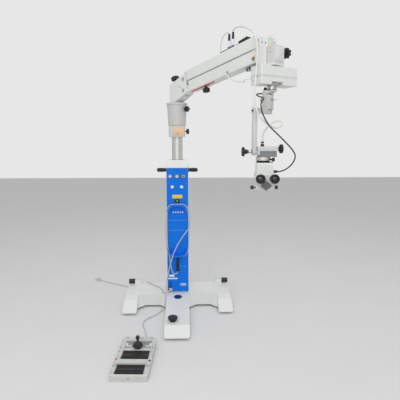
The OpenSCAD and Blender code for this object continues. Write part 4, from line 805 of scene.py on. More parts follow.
THIN = [(542, -38, 1636), (542, -50, 1636), (547, -64, 1632), (566, -75, 1616), (606, -84, 1587),
    (664, -96, 1564), (717, -108, 1552), (757, -125, 1547), (783, -149, 1548), (801, -164, 1550),
    (814, -157, 1552)]
THIN_END = [(419.67, -716.63, 1551.93), (433.04, -709.82, 1551.93)]
TOP_LEAD = [(0, 0, 0), (0, 0, 6), (-12, 3, 13), (-35, 10, 14), (-70, 20, 5), (-98, 32, -15),
    (-112, 40, -40), (-119, 45, -69), (-120, 47, -104), (-120, 51, -135), (-118, 48, -150),
    (-118, 38, -150)]


class MICROSCOPE_OT_cables(bpy.types.Operator):
    """Adds the foot switch cable, the mains cord and the cables of the arm and head"""
    bl_idname = "microscope.cables"
    bl_label = "Cables"

    foot: length("Foot switch cable", "Diameter of the foot switch cable", 0.007)
    mains: length("Mains cord", "Diameter of the mains cord", 0.007)
    guide: length("Light guide", "Diameter of the light guide", 0.010)
    camera: length("Camera cable", "Diameter of the camera cable", 0.007)
    thin: length("Thin cable", "Diameter of the cable under the arm", 0.006)

    def execute(self, context):
        self.foot_cable()
        self.mains_cord()
        self.light_guide()
        self.camera_cable()
        self.thin_cable()
        self.top_lead()
        return {"FINISHED"}

    def foot_cable(self):
        points = smoothed(metres(LEAD + winding_points() + RUN), 4)
        obj = cable("foot_cable", points, self.foot, "grey_cord")
        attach(obj, "stand")
        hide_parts("foot_cable_winding", "foot_cable_run")

    def mains_cord(self):
        points = smoothed(metres(MAINS), 4)
        obj = cable("mains_lead", points, self.mains, "grey_cord")
        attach(obj, "stand")
        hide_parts("mains_cord")

    def declare(self, parts, diameter, stiffness):
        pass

    def light_guide(self):
        points = smoothed(metres(GUIDE), 4)
        spans = [(0, 20, "upper_arm", "arm_head"), (20, 34, "arm_head", "slide_unit"),
                 (34, 42, "slide_unit", "carriage"), (42, 50, "carriage", "cross_slide"),
                 (50, 62, "cross_slide", "hanger"), (62, len(points) - 1, "hanger", "focusing_block")]
        parts = crossing("light_guide_part", points, self.guide, "white_cord", spans)
        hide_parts("light_guide")
        self.declare(parts, self.guide, "medium")

    def camera_cable(self):
        start = [hanger_point(54, -23, 1478), hanger_point(54, -38, 1479), hanger_point(66, -52, 1478),
                 hanger_point(90, -46, 1470), hanger_point(112, -20, 1458)]
        points = smoothed(metres(start + CAMERA), 4)
        spans = [(0, 44, "hanger", "focusing_block"), (44, len(points) - 1, "focusing_block", "microscope")]
        parts = crossing("camera_cable_part", points, self.camera, "black_cord", spans)
        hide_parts("camera_cable")
        self.declare(parts, self.camera, "limp")

    def thin_cable(self):
        points = smoothed(metres([arm_point(*p) for p in THIN] + THIN_END), 4)
        spans = [(0, 24, "upper_arm", "arm_head"), (24, 36, "arm_head", "slide_unit"),
                 (36, len(points) - 1, "slide_unit", "carriage")]
        parts = crossing("thin_cable_part", points, self.thin, "white_cord", spans)
        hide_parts("arm_loop_cable")
        self.declare(parts, self.thin, "limp")

    def top_lead(self):
        points = smoothed(metres([arm_point(519.3 + x, y, 1873.1 + z) for x, y, z in TOP_LEAD]), 4)
        obj = cable("top_lead", points, self.thin, "white_cord")
        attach(obj, "upper_arm")


# ---------------------------------------------------------------- shapes that several groups use

def here(frame_of, x, y, z, turn=Matrix.Identity(4)):
    """A place in a frame, in millimetres."""
    return frame_of @ at(x * MM, y * MM, z * MM, turn)


def on_pedal(x, y, z, turn=Matrix.Identity(4)):
    """A place in the foot switch's own frame, in millimetres."""
    return here(PEDAL, x - STICK[0], y - STICK[1], z - STICK[2], turn)


def pedal_at(point):
    """The foot switch's directions at another point, in millimetres."""
    return Matrix.Translation(point * MM) @ PEDAL.to_3x3().to_4x4()


def both_sides(centre, reach):
    """Places to the right and left of a point, each facing away from it."""
    return [at(centre.x + reach, centre.y, centre.z, FACING_RIGHT),
            at(centre.x - reach, centre.y, centre.z, FACING_LEFT)]


def oval(width, length_, height, edge):
    """A thin oval plate with a broken edge."""
    obj = turned([(0.5, 0), (0.5, height - edge), (0.5 - edge / width, height)], 48)
    return put(obj, Matrix.Diagonal((width, length_, 1, 1)))


def dome(radius, height, sides=28):
    """A low cap with a rounded top."""
    profile = ((1, 0), (1, 0.35), (0.93, 0.62), (0.76, 0.85), (0.5, 0.96), (0.2, 1))
    return turned([(radius * r, height * h) for r, h in profile], sides)


def knurled(radius, height, ribs=24):
    """A hand screw with a knurled rim: a ring of teeth, then a stepped top."""
    core = turned([(radius * 0.9, 0), (radius * 0.94, height * 0.1), (radius * 0.94, height * 0.8),
                   (radius * 0.8, height), (radius * 0.3, height)], 36)
    tooth = slab(radius * 0.12, radius * 0.14, height * 0.66, 0, radius * 0.02)
    teeth = copies(tooth, [Matrix.Rotation(2 * pi * i / ribs, 4, "Z") @ at(radius * 0.93, 0, height * 0.12)
                           for i in range(ribs)])
    return joined([core, teeth])


class MICROSCOPE_OT_base_fittings(bpy.types.Operator):
    """Adds the bare badge, the caps, the washers and the lever ribs of the base"""
    bl_idname = "microscope.base_fittings"
    bl_label = "Base fittings"

    badge_width: length("Badge width", "Width of the bare oval badge", 0.056)
    badge_length: length("Badge length", "Length of the bare oval badge", 0.068)
    cap_radius: length("Cap radius", "Radius of an axle cap", 0.0062)

    def execute(self, context):
        slope = Matrix.Rotation(radians(3.37), 4, "X")
        place = here(WORLD, 0, -181, 94.1, slope)
        rim = oval(self.badge_width + 0.005, self.badge_length + 0.006, 0.0012, 0.0005)
        fit(rim, place, "badge_rim", "stand", "steel")
        face = oval(self.badge_width, self.badge_length, 0.0018, 0.0005)
        fit(face, place, "badge_face", "stand", "navy_plate")

        foot = middle("parking_foot") / MM
        washer = ring(0.0078, 0.021, 0.0024)
        fit(washer, here(WORLD, foot.x, foot.y, 73.1, slope), "parking_washer", "stand", "steel")
        cap = turned([(0.011, 0), (0.011, 0.0055), (0.0095, 0.0085), (0.006, 0.0092)], 28)
        fit(cap, here(WORLD, foot.x + 45, foot.y, 73.1, slope), "leg_cap", "stand", "white_paint")
        grip = ring(0.0302, 0.0312, 0.0035)
        ribs = [here(WORLD, foot.x, foot.y, high("parking_foot").z / MM - 15 + 5 * i) for i in range(2)]
        fit(grip, ribs, "parking_knob_grip", "parking_foot", "caster_tread")

        for corner in ("rear_left", "rear_right", "front_left", "front_right"):
            self.axle_caps(corner)
        for side in ("left", "right"):
            self.lever_ribs(side)
        self.block_covers()
        return {"FINISHED"}

    def axle_caps(self, corner):
        axle = pivot("wheel_roll_" + corner)
        half = (high("caster_fork_" + corner).x - low("caster_fork_" + corner).x) / 2
        cap = dome(self.cap_radius, 0.0022)
        fit(cap, both_sides(axle, min(half, 0.0149)), "axle_caps_" + corner, "caster_" + corner, "fork_steel")
        hub = turned([(0.0148, 0), (0.0145, 0.0006), (0.0110, 0.0007), (0.0105, 0.0001),
                      (0.0062, 0.0001)], 32)
        fit(hub, both_sides(axle, 0.011), "wheel_hubs_" + corner, "wheel_" + corner, "grey_plastic")

    def lever_ribs(self, side):
        centre = middle("brake_lever_" + side)
        top = high("brake_lever_" + side).z
        lean = Matrix.Rotation(radians(-26.6), 4, "X")
        rib = slab(0.040, 0.0016, 0.0011, 0, 0.0004)
        places = [at(centre.x, centre.y + 0.0068 + 0.0028 * i, top - 0.0031 - 0.0014 * i, lean)
                  for i in range(3)]
        fit(rib, places, "lever_ribs_" + side, "brake_" + side, "caster_tread")

    def block_covers(self):
        """Covers on the outer faces of the two brake blocks."""
        lever = middle("brake_lever_left")
        plate = slab(0.046, 0.026, 0.0012, 0.003, 0.0004)
        places = [at(s * (abs(lever.x) - 0.0517), lever.y - 0.0004, 0.1306) for s in (-1, 1)]
        fit(plate, places, "brake_block_covers", "stand", "grey_white_paint")


class MICROSCOPE_OT_panel_fittings(bpy.types.Operator):
    """Adds the buttons, lamps, marks and bare plates of the front panel, and the grips beside it"""
    bl_idname = "microscope.panel_fittings"
    bl_label = "Panel fittings"

    raised: length("Raised", "Height of the raised plates of the panel", 0.0012)
    plate: length("Plate", "Thickness of a bare plate", 0.0004)
    dial: length("Dial", "Radius of the marks round a dial", 0.0172)

    def execute(self, context):
        for name, x, z, width, height, finish in (
                ("panel_yellow_plate", -0.005, 0.777, 0.0735, 0.0264, "yellow_plate"),
                ("panel_upper_plate", -0.30, 0.132, 0.0392, 0.0172, "white_plate"),
                ("panel_lower_plate", -0.25, 0.109, 0.0704, 0.0100, "white_plate"),
                ("panel_lavender_plate", 0.25, 0.058, 0.0424, 0.0218, "lavender_plate")):
            plate = slab(width, height, self.plate, 0.0012, 0.00015)
            fit(plate, on_panel(x, z, self.raised), name, "stand", finish)
        square = slab(0.0084, 0.0101, self.plate, 0.0006, 0.0001)
        rows = [on_panel(x, 0.652, self.raised) for x in (-0.2, -0.09, 0.02, 0.13, 0.24)]
        fit(square, rows, "panel_squares", "stand", "white_plate")
        self.dials()
        self.buttons()
        self.sockets()
        self.handle_grips()
        return {"FINISHED"}

    def dials(self):
        tick = slab(0.0008, 0.0030, 0.0003)
        places = [on_panel(x, DIAL_ROW) @ Matrix.Rotation(radians(a), 4, "Z") @ at(0, self.dial, 0)
                  for x in DIALS for a in range(-120, 121, 30)]
        fit(tick, places, "dial_marks", "stand", "white_plate")
        for side, x in zip(("left", "right"), DIALS):
            line = slab(0.0012, 0.0070, 0.0004)
            knob = "panel_knob_" + side
            fit(line, on_panel(x, DIAL_ROW, 0.016) @ at(0, 0.0046, 0), knob + "_line", knob, "dark_gap")
            skirt = ring(0.0106, 0.0130, 0.0006)
            fit(skirt, on_panel(x, DIAL_ROW, 0.0056), knob + "_skirt", knob, "recess_plate")
        line = slab(0.148, 0.0006, 0.0002)
        fit(line, [on_panel(0, 0.5875), on_panel(0, 0.5065)], "panel_lines", "stand", "white_plate")
        dot = turned([(0.0026, 0), (0.0026, 0.0005), (0.0020, 0.0008)], 20)
        fit(dot, [on_panel(0.154, 0.2138), on_panel(0.327, 0.2084)], "panel_dots", "stand", "white_plate")

    def buttons(self):
        spots = [on_panel(x, 0.854) for x in (-0.24, 0.2)]
        cap = turned([(0.0109, 0), (0.0109, 0.0056), (0.0104, 0.0067), (0.0094, 0.0070), (0.0090, 0.0067),
                      (0.0040, 0.0065)], 36)
        fit(cap, spots, "panel_buttons", "stand", "white_plate")
        bezel = ring(0.0111, 0.0124, 0.0010)
        fit(bezel, spots, "button_bezels", "stand", "steel")
        lamp = put(dome(0.0046, 0.0030), on_panel(-0.012, 0.743, 0.006))
        dress(lamp, "power_lamp", "stand", "green_lamp")
        shroud = put(ring(0.0047, 0.0064, 0.0014), on_panel(-0.012, 0.743, 0.006))
        dress(shroud, "power_lamp_ring", "stand", "black_plastic")

    def sockets(self):
        row = on_panel(DIALS[2], DIAL_ROW, 0.0036)
        insert = turned([(0.0064, 0), (0.0064, 0.0022), (0.0058, 0.0026)], 28)
        fit(insert, row, "socket_insert", "stand", "recess_plate")
        pin = turned([(0.0008, 0), (0.0008, 0.0016)], 12)
        pins = [row @ Matrix.Rotation(radians(a), 4, "Z") @ at(0.0034, 0, 0.0022) for a in range(45, 360, 90)]
        fit(pin, pins, "socket_pins", "stand", "brass_plate")
        shine = put(ring(0.0072, 0.0122, 0.0005), on_panel(DIALS[2], DIAL_ROW, 0.012))
        dress(shine, "socket_ring", "stand", "steel")
        white = put(ring(0.0072, 0.0135, 0.0006), on_panel(-0.36, 0.018, 0.009))
        dress(white, "inlet_ring", "stand", "white_plate")
        fuse = screw(0.0042, 0.0016)
        fit(fuse, [on_panel(-0.36, z, 0.006) for z in (0.07, 0.047)], "fuse_caps", "stand", "black_plastic")
        head = screw(0.0038, 0.0018)
        fit(head, [on_panel(-0.083, 0.0065), on_panel(0.25, 0.0065)], "panel_screws", "stand", "brass_plate")
        face = put(slab(0.0135, 0.0935, 0.0006, 0.0015, 0.0002), on_panel(-0.012, 0.23, 0.019))
        dress(face, "connector_face", "stand", "dark_gap")

    def handle_grips(self):
        centre = middle("column_hardware")
        band = ring(0.01452, 0.01530, 0.0028)
        places = [at(s * (0.106 + 0.0065 * i), centre.y, centre.z, FACING_RIGHT)
                  for s in (-1, 1) for i in range(5)]
        fit(band, places, "handle_grips", "stand", "caster_tread")


class MICROSCOPE_OT_carrier_fittings(bpy.types.Operator):
    """Adds a peach patch of painted reflection on the collar, the clamp screws of the collar, and the plugs of its
    knobs
    """
    bl_idname = "microscope.carrier_fittings"
    bl_label = "Carrier fittings"

    def execute(self, context):
        collar_low, collar_high = low("mast_collar"), high("mast_collar")
        mid = (collar_low.z + collar_high.z) / 2
        # a peach patch on the front of the collar: a painted reflection of warm light, not a part of the collar
        patch = slab(0.0744, 0.0622, 0.0004, 0.003, 0.00015)
        fit(patch, at(0.0119, collar_low.y, mid, FACING_FRONT), "collar_painted_reflection", "carrier", "painted_reflection_plate")
        tip = slab(0.011, 0.011, 0.0003, 0, 0)
        turn = FACING_FRONT @ Matrix.Rotation(radians(45), 4, "Z")
        fit(tip, at(0.0050, collar_low.y - 0.0004, mid - 0.016, turn), "collar_mark", "carrier",
            "orange_plate")
        head = screw(0.0052, 0.0034)
        places = [at(collar_low.x, 0.049, mid + dz, FACING_LEFT) for dz in (-0.022, 0.022)]
        fit(head, places, "collar_screws", "carrier", "steel")
        lip = ring(0.0407, 0.0452, 0.0016)
        fit(lip, at(0, 0, low("column_cap").z + 0.0580), "mast_seal", "stand", "caster_tread")
        for node in ("collar_knob", "cup_knob"):
            self.knob_face(node)
        return {"FINISHED"}

    def knob_face(self, node):
        """A small plug in the middle of a star knob."""
        way = axis(node + "_turn")
        reach = 0.5 * abs(Vector(high(node) - low(node)).dot(Vector((abs(way.x), abs(way.y), abs(way.z)))))
        centre = middle(node)
        seat = pivot(node + "_turn")
        seat += way * (centre - seat).dot(way)
        place = frame_at(seat, way, UP) @ FACING_RIGHT
        spread = 0.020 * (1 - abs(way.x))
        plug = dome(0.0085, 0.0016)
        place = place @ at(0, 0, reach - spread * abs(way.y) - 0.0002)
        fit(plug, place, node + "_plug", node, "fork_steel")


class MICROSCOPE_OT_arm_fittings(bpy.types.Operator):
    """Adds the strip, the pin caps, the stop, the lamps, the sleeves and the grip of the arm"""
    bl_idname = "microscope.arm_fittings"
    bl_label = "Arm fittings"

    def execute(self, context):
        strip = slab(0.2262, 0.0256, 0.0005, 0.001, 0.0002)
        fit(strip, here(LOWER, 177, -16.7, -24.2, FACING_DOWN), "arm_strip", "lower_arm", "orange_plate")

        cap = screw(0.0108, 0.0012)
        lower_pin, upper_pin = pivot("lower_arm_pivot") / MM, pivot("arm_lift") / MM
        reach = lower_pin.to_2d().length
        places = [here(LEVEL, reach, -41.2, p.z, FACING_FRONT) for p in (lower_pin, upper_pin)]
        fit(cap, places, "elbow_pin_faces", "elbow", "steel")
        dot = turned([(0.0034, 0), (0.0034, 0.0010), (0.0026, 0.0016)], 20)
        fit(dot, here(LEVEL, 79.5, -38, 1594, FACING_FRONT), "elbow_plug", "elbow", "caster_tread")

        head = pivot("head_level") / MM
        reach = head.to_2d().length
        cap = screw(0.0108, 0.0012)
        fit(cap, here(LEVEL, reach, -41.6, head.z - 76, FACING_FRONT), "head_pin_face", "arm_head",
            "brass_plate")
        plug = turned([(0.0086, 0), (0.0086, 0.0005), (0.0078, 0.0009)], 28)
        fit(plug, here(LEVEL, reach, -38, head.z, FACING_FRONT), "head_pin_plug", "arm_head", "white_paint")

        self.stop_knob()
        self.lamps()
        self.sleeves()
        grommet = ring(0.0031, 0.0062, 0.0022)
        fit(grommet, here(LEVEL, 542, -38, 1636.15, FACING_FRONT), "cable_grommet", "lower_arm",
            "black_plastic")
        collar = ring(0.0031, 0.0056, 0.0018)
        fit(collar, here(LEVEL, 411.9, 38, 1723.1, FACING_BACK), "lead_grommet", "upper_arm", "black_plastic")
        self.grip_pad()
        return {"FINISHED"}

    def stop_knob(self):
        """Black lobes over the stop under the arm."""
        place = here(LOWER, LINK - 72, 0, -23, FACING_DOWN)
        core = turned([(0.0108, 0), (0.0108, 0.0052), (0.0150, 0.0060), (0.0168, 0.0090), (0.0168, 0.0172),
                       (0.0140, 0.0212), (0.0060, 0.0216)], 32)
        lobe = turned([(0.0046, 0), (0.0052, 0.0012), (0.0052, 0.0110), (0.0040, 0.0128)], 16)
        lobes = copies(lobe, [Matrix.Rotation(pi * i / 4, 4, "Z") @ at(0.0148, 0, 0.0062) for i in range(8)])
        fit(joined([core, lobes]), place, "stop_knob", "lower_arm", "black_plastic")

    def lamps(self):
        post = turned([(0.0058, 0), (0.0058, 0.012), (0.0050, 0.014)], 24)
        fit(post, here(ARM, 492, -9, DECK_TOP), "lamp_post", "upper_arm", "black_plastic")
        lens = dome(0.0046, 0.0042)
        fit(lens, here(ARM, 492, -9, DECK_TOP + 14), "yellow_pilot_lamp", "upper_arm", "yellow_lamp")
        lens = dome(0.0043, 0.0036)
        fit(lens, here(ARM, 466.9, -9.1, DECK_TOP + 16.6), "blue_pilot_lamp", "upper_arm", "blue_lamp")
        bezel = ring(0.0049, 0.0066, 0.0012)
        fit(bezel, here(ARM, 450.4, -9.1, DECK_TOP + 12), "deck_bezel", "upper_arm", "steel")

    def sleeves(self):
        """White sleeves on the two plugs that stand on the arm."""
        sleeve = turned([(0.0091, 0), (0.0097, 0.0006), (0.0098, 0.034), (0.0095, 0.036),
                         (0.0085, 0.0362)], 36)
        rise = atan2(ARM.col[0].z, ARM.col[0].to_2d().length)
        plugs = [here(ARM, x, 0, 61, Matrix.Rotation(rise, 4, "Y")) for x in (420, 453)]
        fit(sleeve, [plug @ at(0, 0, 0.0135) for plug in plugs], "plug_sleeves", "upper_arm", "white_plate")
        nut = ring(0.0091, 0.0108, 0.0060, 6)
        fit(nut, [plug @ at(0, 0, 0.0040) for plug in plugs], "plug_nuts", "upper_arm", "fork_steel")

    def grip_pad(self):
        """Ribs on the grip near the head."""
        rib = slab(0.0024, 0.040, 0.0009, 0, 0.0003)
        climb, span = 26 - 20.8, 69
        lean = Matrix.Rotation(-atan2(climb, span), 4, "Y")
        places = [here(ARM, 535 + 7 * i, 0, DECK_TOP + 22.2 + 0.53 * i, lean) for i in range(7)]
        fit(rib, places, "grip_ribs", "upper_arm", "caster_tread")


class MICROSCOPE_OT_head_fittings(bpy.types.Operator):
    """Adds the plates, plugs and short lead of the lamp, and the rims of the slide unit"""
    bl_idname = "microscope.head_fittings"
    bl_label = "Head fittings"

    def execute(self, context):
        plug = turned([(0.0036, 0), (0.0036, 0.0008), (0.0028, 0.0012)], 20)
        places = [here(LEVEL, r, -42.3, z, FACING_FRONT) for r, z in ((814.2, 1765.3), (839.9, 1756.9))]
        fit(plug, places, "head_plugs", "arm_head", "caster_tread")

        plate = slab(0.013, 0.011, 0.0004, 0.001, 0.0001)
        fit(plate, here(LEVEL, 880, -47, 1724, FACING_FRONT), "lamp_plate", "arm_head", "yellow_plate")
        dot = turned([(0.0034, 0), (0.0034, 0.0006), (0.0026, 0.0010)], 20)
        fit(dot, here(LEVEL, 880, -47, 1700, FACING_FRONT), "lamp_plug", "arm_head", "recess_plate")
        seam = slab(0.0008, 0.092, 0.0004)
        fit(seam, here(LEVEL, 856, -47, 1688, FACING_FRONT), "lamp_seam", "arm_head", "dark_gap")

        cover = slab(0.0770, 0.0800, 0.0008, 0.004, 0.0003)
        # where the lamp housing starts along the arm, how long it is, and how far the cover stands out
        lamp_start, lamp_length, proud = 848.32, 58, 0.1
        lamp_low, lamp_high = low("lamp_housing").z, high("lamp_housing").z
        place = here(LEVEL, lamp_start + lamp_length + proud, 0, (lamp_low + lamp_high) / 2 / MM,
                     FACING_RIGHT)
        fit(cover, place, "lamp_end_cover", "arm_head", "white_paint")
        self.lamp_lead()

        unit_low = low("xy_carriage").z / MM - UNIT.translation.z / MM
        screws = dome(0.0088, 0.0034)
        places = [here(UNIT, 20, y, unit_low, FACING_DOWN) for y in (-13, 20)]
        fit(screws, places, "carriage_screws", "carriage", "steel")
        rim = ring(0.0266, 0.0300, 0.0052, 48)
        fit(rim, here(UNIT, 0, 0, unit_low - 22), "flange_rim", "cross_slide", "steel")
        edge = ring(0.0266, 0.0288, 0.0024, 48)
        fit(edge, here(UNIT, 0, 0, unit_low - 24.2), "flange_edge", "cross_slide", "brass_plate")
        return {"FINISHED"}

    def lamp_lead(self):
        """A short lead that leaves the head and enters the lamp from above."""
        route = [(842, -30, 1764), (843, -30, 1772), (850, -28, 1786), (862, -24, 1796), (874, -20, 1795),
                 (882, -17, 1784), (884, -16, 1768), (884, -16, 1752)]
        points = smoothed(metres([arm_point(*p) for p in route]), 4)
        obj = cable("lamp_lead", points, 0.005, "white_cord")
        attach(obj, "arm_head")
        plug = turned([(0.0070, 0), (0.0075, 0.0010), (0.0075, 0.0120), (0.0060, 0.0135),
                       (0.0030, 0.0140)], 24)
        fit(plug, here(LEVEL, 884, -16, 1755), "lamp_lead_plug", "arm_head", "white_plate")


class MICROSCOPE_OT_hanger_fittings(bpy.types.Operator):
    """Adds the screws, sleeves and rings of the hanger and the focusing block"""
    bl_idname = "microscope.hanger_fittings"
    bl_label = "Hanger fittings"

    def execute(self, context):
        tilt = pivot("tilt") / MM
        block_low, block_high = low("focusing_block") / MM, high("focusing_block") / MM

        self.hanger()
        ferrule = turned([(0.0104, 0), (0.0104, 0.0074), (0.0096, 0.0084), (0.0084, 0.0086), (0.0084, 0.0140),
                          (0.0079, 0.0146), (0.0079, 0.0180), (0.0084, 0.0186), (0.0084, 0.0255),
                          (0.0062, 0.0263)], 32)
        fit(ferrule, here(WORLD, 473.62, -812.5, 1183.0), "guide_ferrule", "focusing_block", "black_plastic")

        shell = ring(0.0386, 0.0394, 0.0186, 64)
        fit(shell, here(WORLD, SCOPE_X, tilt.y, 1107.8), "mount_ring", "microscope", "bright_tube")
        gap = ring(0.0346, 0.0353, 0.0102, 64)
        fit(gap, here(WORLD, SCOPE_X, tilt.y, 1096.6), "mount_gap", "microscope", "dark_gap")
        lock = turned([(0.0050, 0), (0.0050, 0.010), (0.0098, 0.012), (0.0102, 0.022), (0.0090, 0.0255),
                       (0.0040, 0.0262)], 24)
        place = here(WORLD, SCOPE_X, tilt.y, 1113, Matrix.Rotation(radians(-24), 4, "Z"))
        place = place @ at(0.0385, 0, 0, FACING_RIGHT)
        fit(lock, place, "mount_lock", "microscope", "black_plastic")

        collar = ring(0.0081, 0.0093, 0.0150, 36)
        fit(collar, here(WORLD, tilt.x - 45, tilt.y, tilt.z, FACING_RIGHT), "tilt_shaft_sleeve", "tilt_knob",
            "bright_tube")
        focus, sunk = pivot("focus_knob_turn"), 0.0016
        for node, place in (
                ("tilt_knob", at(low("tilt_knob").x + sunk, tilt.y * MM, tilt.z * MM, FACING_LEFT)),
                ("focus_knob", at(high("focus_knob").x - sunk, focus.y, focus.z, FACING_RIGHT))):
            face = turned([(0.0105, 0), (0.0105, 0.0012), (0.0090, 0.0020), (0.0040, 0.0022)], 28)
            fit(face, place, node + "_face", node, "fork_steel")
        groove = slab((block_high.x - block_low.x - 26) * MM, 0.0008, 0.0004)
        place = here(WORLD, (block_low.x + block_high.x) / 2, block_low.y, tilt.z + 9, FACING_FRONT)
        fit(groove, place, "block_seam", "focusing_block", "dark_gap")
        return {"FINISHED"}

    def hanger(self):
        """The clamp under the slides, its block, the level arm and the hanging bar."""
        bottom, top = 1365.2, 1501.0
        bar_x, bar_y = 431.32, -799.0
        tilt_z = pivot("tilt").z / MM
        parts = [
            put(turned([(0.0275, 0), (0.0282, 0.0008), (0.0282, 0.0080), (0.0270, 0.0092),
                        (0.0110, 0.0092)], 56), here(HUNG, 0, 0, top - 9.4)),
            put(slab(0.078, 0.034, 0.0120, 0.010, 0.001), here(HUNG, 26, -5, top - 21.5)),
            put(turned([(0.0130, 0), (0.0150, 0.0020), (0.0150, 0.0080)], 6), here(HUNG, 0, 0, top - 29.4)),
            put(slab(0.056, 0.048, 0.0780, 0.006, 0.0012), here(HUNG, 42, 0, bottom + 23.8)),
            put(slab(0.0250, 0.0270, 0.0300, 0.004, 0.0012), here(HUNG, 54, -10, 1464)),
            put(slab(0.1810, 0.0336, 0.0240, 0.0045, 0.0012), here(HUNG, 107, 0, bottom)),
            put(slab(0.024, 0.040, (bottom + 24 - tilt_z) * MM, 0.0036, 0.0012),
                here(WORLD, bar_x, bar_y, tilt_z)),
            put(turned([(0.0192, 0), (0.0200, 0.0008), (0.0200, 0.0232), (0.0192, 0.0240)], 48),
                here(WORLD, bar_x - 12, bar_y, tilt_z, FACING_RIGHT)),
        ]
        body = dress(joined(parts), "hanger_body", "hanger", "light_grey_paint")
        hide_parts("hanger")
        groove = slab(0.0562, 0.0482, 0.0008, 0.006, 0)
        fit(groove, here(HUNG, 42, 0, bottom + 24.2), "hanger_seam", "hanger", "dark_gap")
        rib = slab(0.0004, 0.0400, 0.0010)
        places = [here(HUNG, 70.1, 0, bottom + 40 + 12 * i) for i in range(5)]
        fit(rib, places, "hanger_ribs", "hanger", "grey_white_paint")
        lock = turned([(0.0045, 0), (0.0045, 0.0060), (0.0085, 0.0070), (0.0092, 0.0110), (0.0092, 0.0170),
                       (0.0080, 0.0190), (0.0030, 0.0195)], 24)
        lean = Matrix.Rotation(radians(-14), 4, "Y")
        fit(lock, here(HUNG, 56, -12, 1491, lean), "hanger_lock", "hanger", "black_plastic")
        nut = put(knurled(0.0118, 0.0100), here(HUNG, 62, -24, 1442, FACING_FRONT))
        dress(nut, "hanger_hand_screw", "hanger", "steel")
        stud = turned([(0.0042, 0), (0.0042, 0.0240), (0.0030, 0.0250)], 20)
        fit(stud, here(HUNG, 42, 24, 1444, FACING_BACK), "hanger_stud", "hanger", "fork_steel")
        tip = turned([(0.0050, 0), (0.0058, 0.0010), (0.0058, 0.0180), (0.0042, 0.0210)], 20)
        fit(tip, here(HUNG, 42, 36, 1444, FACING_BACK), "hanger_stud_tip", "hanger", "white_plate")
        bend = [(431, -812, 1386), (430, -816, 1398), (425, -818, 1405), (419, -819, 1401), (415, -819, 1390),
                (415, -819, 1374)]
        hook = cable("cable_hook_wire", smoothed(metres(bend), 4), 0.0040, "white_paint")
        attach(hook, "hanger")
        end = dome(0.0048, 0.0085, 20)
        fit(end, here(WORLD, 415, -819, 1376, FACING_DOWN), "cable_hook_tip", "hanger", "black_plastic")


class MICROSCOPE_OT_optics(bpy.types.Operator):
    """Adds the lenses, rubber cups, prism cases and buttons of the microscope, and a grey diamond of painted shade
    under the eyepieces
    """
    bl_idname = "microscope.optics"
    bl_label = "Optics"

    lens_radius: length("Lens radius", "Radius of an eye lens", 0.0135)

    def execute(self, context):
        for side in ("left", "right"):
            self.eyepiece(side)
        objective = middle("scope_body")
        front = high("scope_body").y
        glass = turned([(0.0262, 0), (0.0255, 0.0010), (0.0205, 0.0030), (0.0120, 0.0044),
                        (0.0040, 0.0048)], 48)
        bottom, top = low("scope_body").z, high("scope_body").z
        place = at(objective.x, front - 0.0092, (bottom + top) / 2 - 0.0055, FACING_BACK)
        fit(glass, place, "objective_lens", "microscope", "lens")

        # a grey diamond between and under the eyepieces: painted shade where the binocular housing's underside
        # lies in shadow
        plate = turned([(0.5, 0), (0.5, 0.0012), (0.485, 0.0018)], 4)
        tall = here(WORLD, SCOPE_X, -898.2, 977.6, FACING_FRONT) @ Matrix.Diagonal((0.062, 0.054, 1, 1))
        fit(plate, tall, "painted_shade_diamond", "microscope", "painted_shade_diamond")
        collar = turned([(0.0062, 0), (0.0074, 0.0012), (0.0074, 0.0085), (0.0060, 0.0110)], 28)
        knobs = middle("pd_knob")
        knobs.x = SCOPE_X * MM
        fit(collar, both_sides(knobs, 0.0400), "pd_collars", "microscope", "white_plate")
        right_face = 543.5
        gland = turned([(0.0090, 0), (0.0090, 0.0060), (0.0076, 0.0072), (0.0076, 0.0160), (0.0062, 0.0190),
                        (0.0042, 0.0230)], 28)
        fit(gland, here(WORLD, right_face, -786.5, 1045.4, FACING_RIGHT), "camera_gland", "microscope",
            "black_plastic")
        ball = turned([(0.0030, 0), (0.0030, 0.0090), (0.0058, 0.0110), (0.0064, 0.0150), (0.0055, 0.0195),
                       (0.0022, 0.0215)], 24)
        fit(ball, here(WORLD, right_face, -812, 1028, FACING_RIGHT), "side_button", "microscope",
            "white_plate")
        return {"FINISHED"}

    def eyepiece(self, side):
        node = "eyepiece_" + side
        sign = -1 if side == "left" else 1
        eye_reach, case_reach = 0.037, 0.031
        centre_x = SCOPE_X * MM + sign * eye_reach
        eye_z, prism_z = 1016.45 * MM, 1000.45 * MM
        rim = low(node).y
        glass = dome(self.lens_radius, 0.0042, 40)
        fit(glass, at(centre_x, rim + 0.0068, eye_z, FACING_FRONT), node + "_lens", node, "lens")
        bezel = ring(0.0132, 0.0147, 0.0024, 48)
        fit(bezel, at(centre_x, rim + 0.0069, eye_z, FACING_FRONT), node + "_bezel", node, "black_plastic")
        cup = turned([(0.0248, 0), (0.0250, 0.0040), (0.0246, 0.0085), (0.0240, 0.0098), (0.0228, 0.0100),
                      (0.0192, 0.0096), (0.0180, 0.0075), (0.0180, 0.0), (0.0248, 0)], 48, closed=False)
        fit(cup, at(centre_x, rim + 0.0102, eye_z, FACING_FRONT), node + "_cup", node, "caster_tread")
        rib = slab(0.0012, 0.0013, 0.0110, 0, 0.0004)
        ribs = 30
        places = [at(centre_x, rim + 0.0290, eye_z, FACING_FRONT) @ Matrix.Rotation(2 * pi * i / ribs, 4, "Z")
                  @ at(0.0224, 0, 0) for i in range(ribs)]
        fit(rib, places, node + "_grip", node, "black_plastic")
        prism_x = SCOPE_X * MM + sign * case_reach
        cover = turned([(0.0293, 0), (0.0293, 0.0118), (0.0284, 0.0127), (0.0100, 0.0127)], 56)
        fit(cover, at(prism_x, -0.8844, prism_z, FACING_FRONT), node + "_case", node, "grey_white_paint")


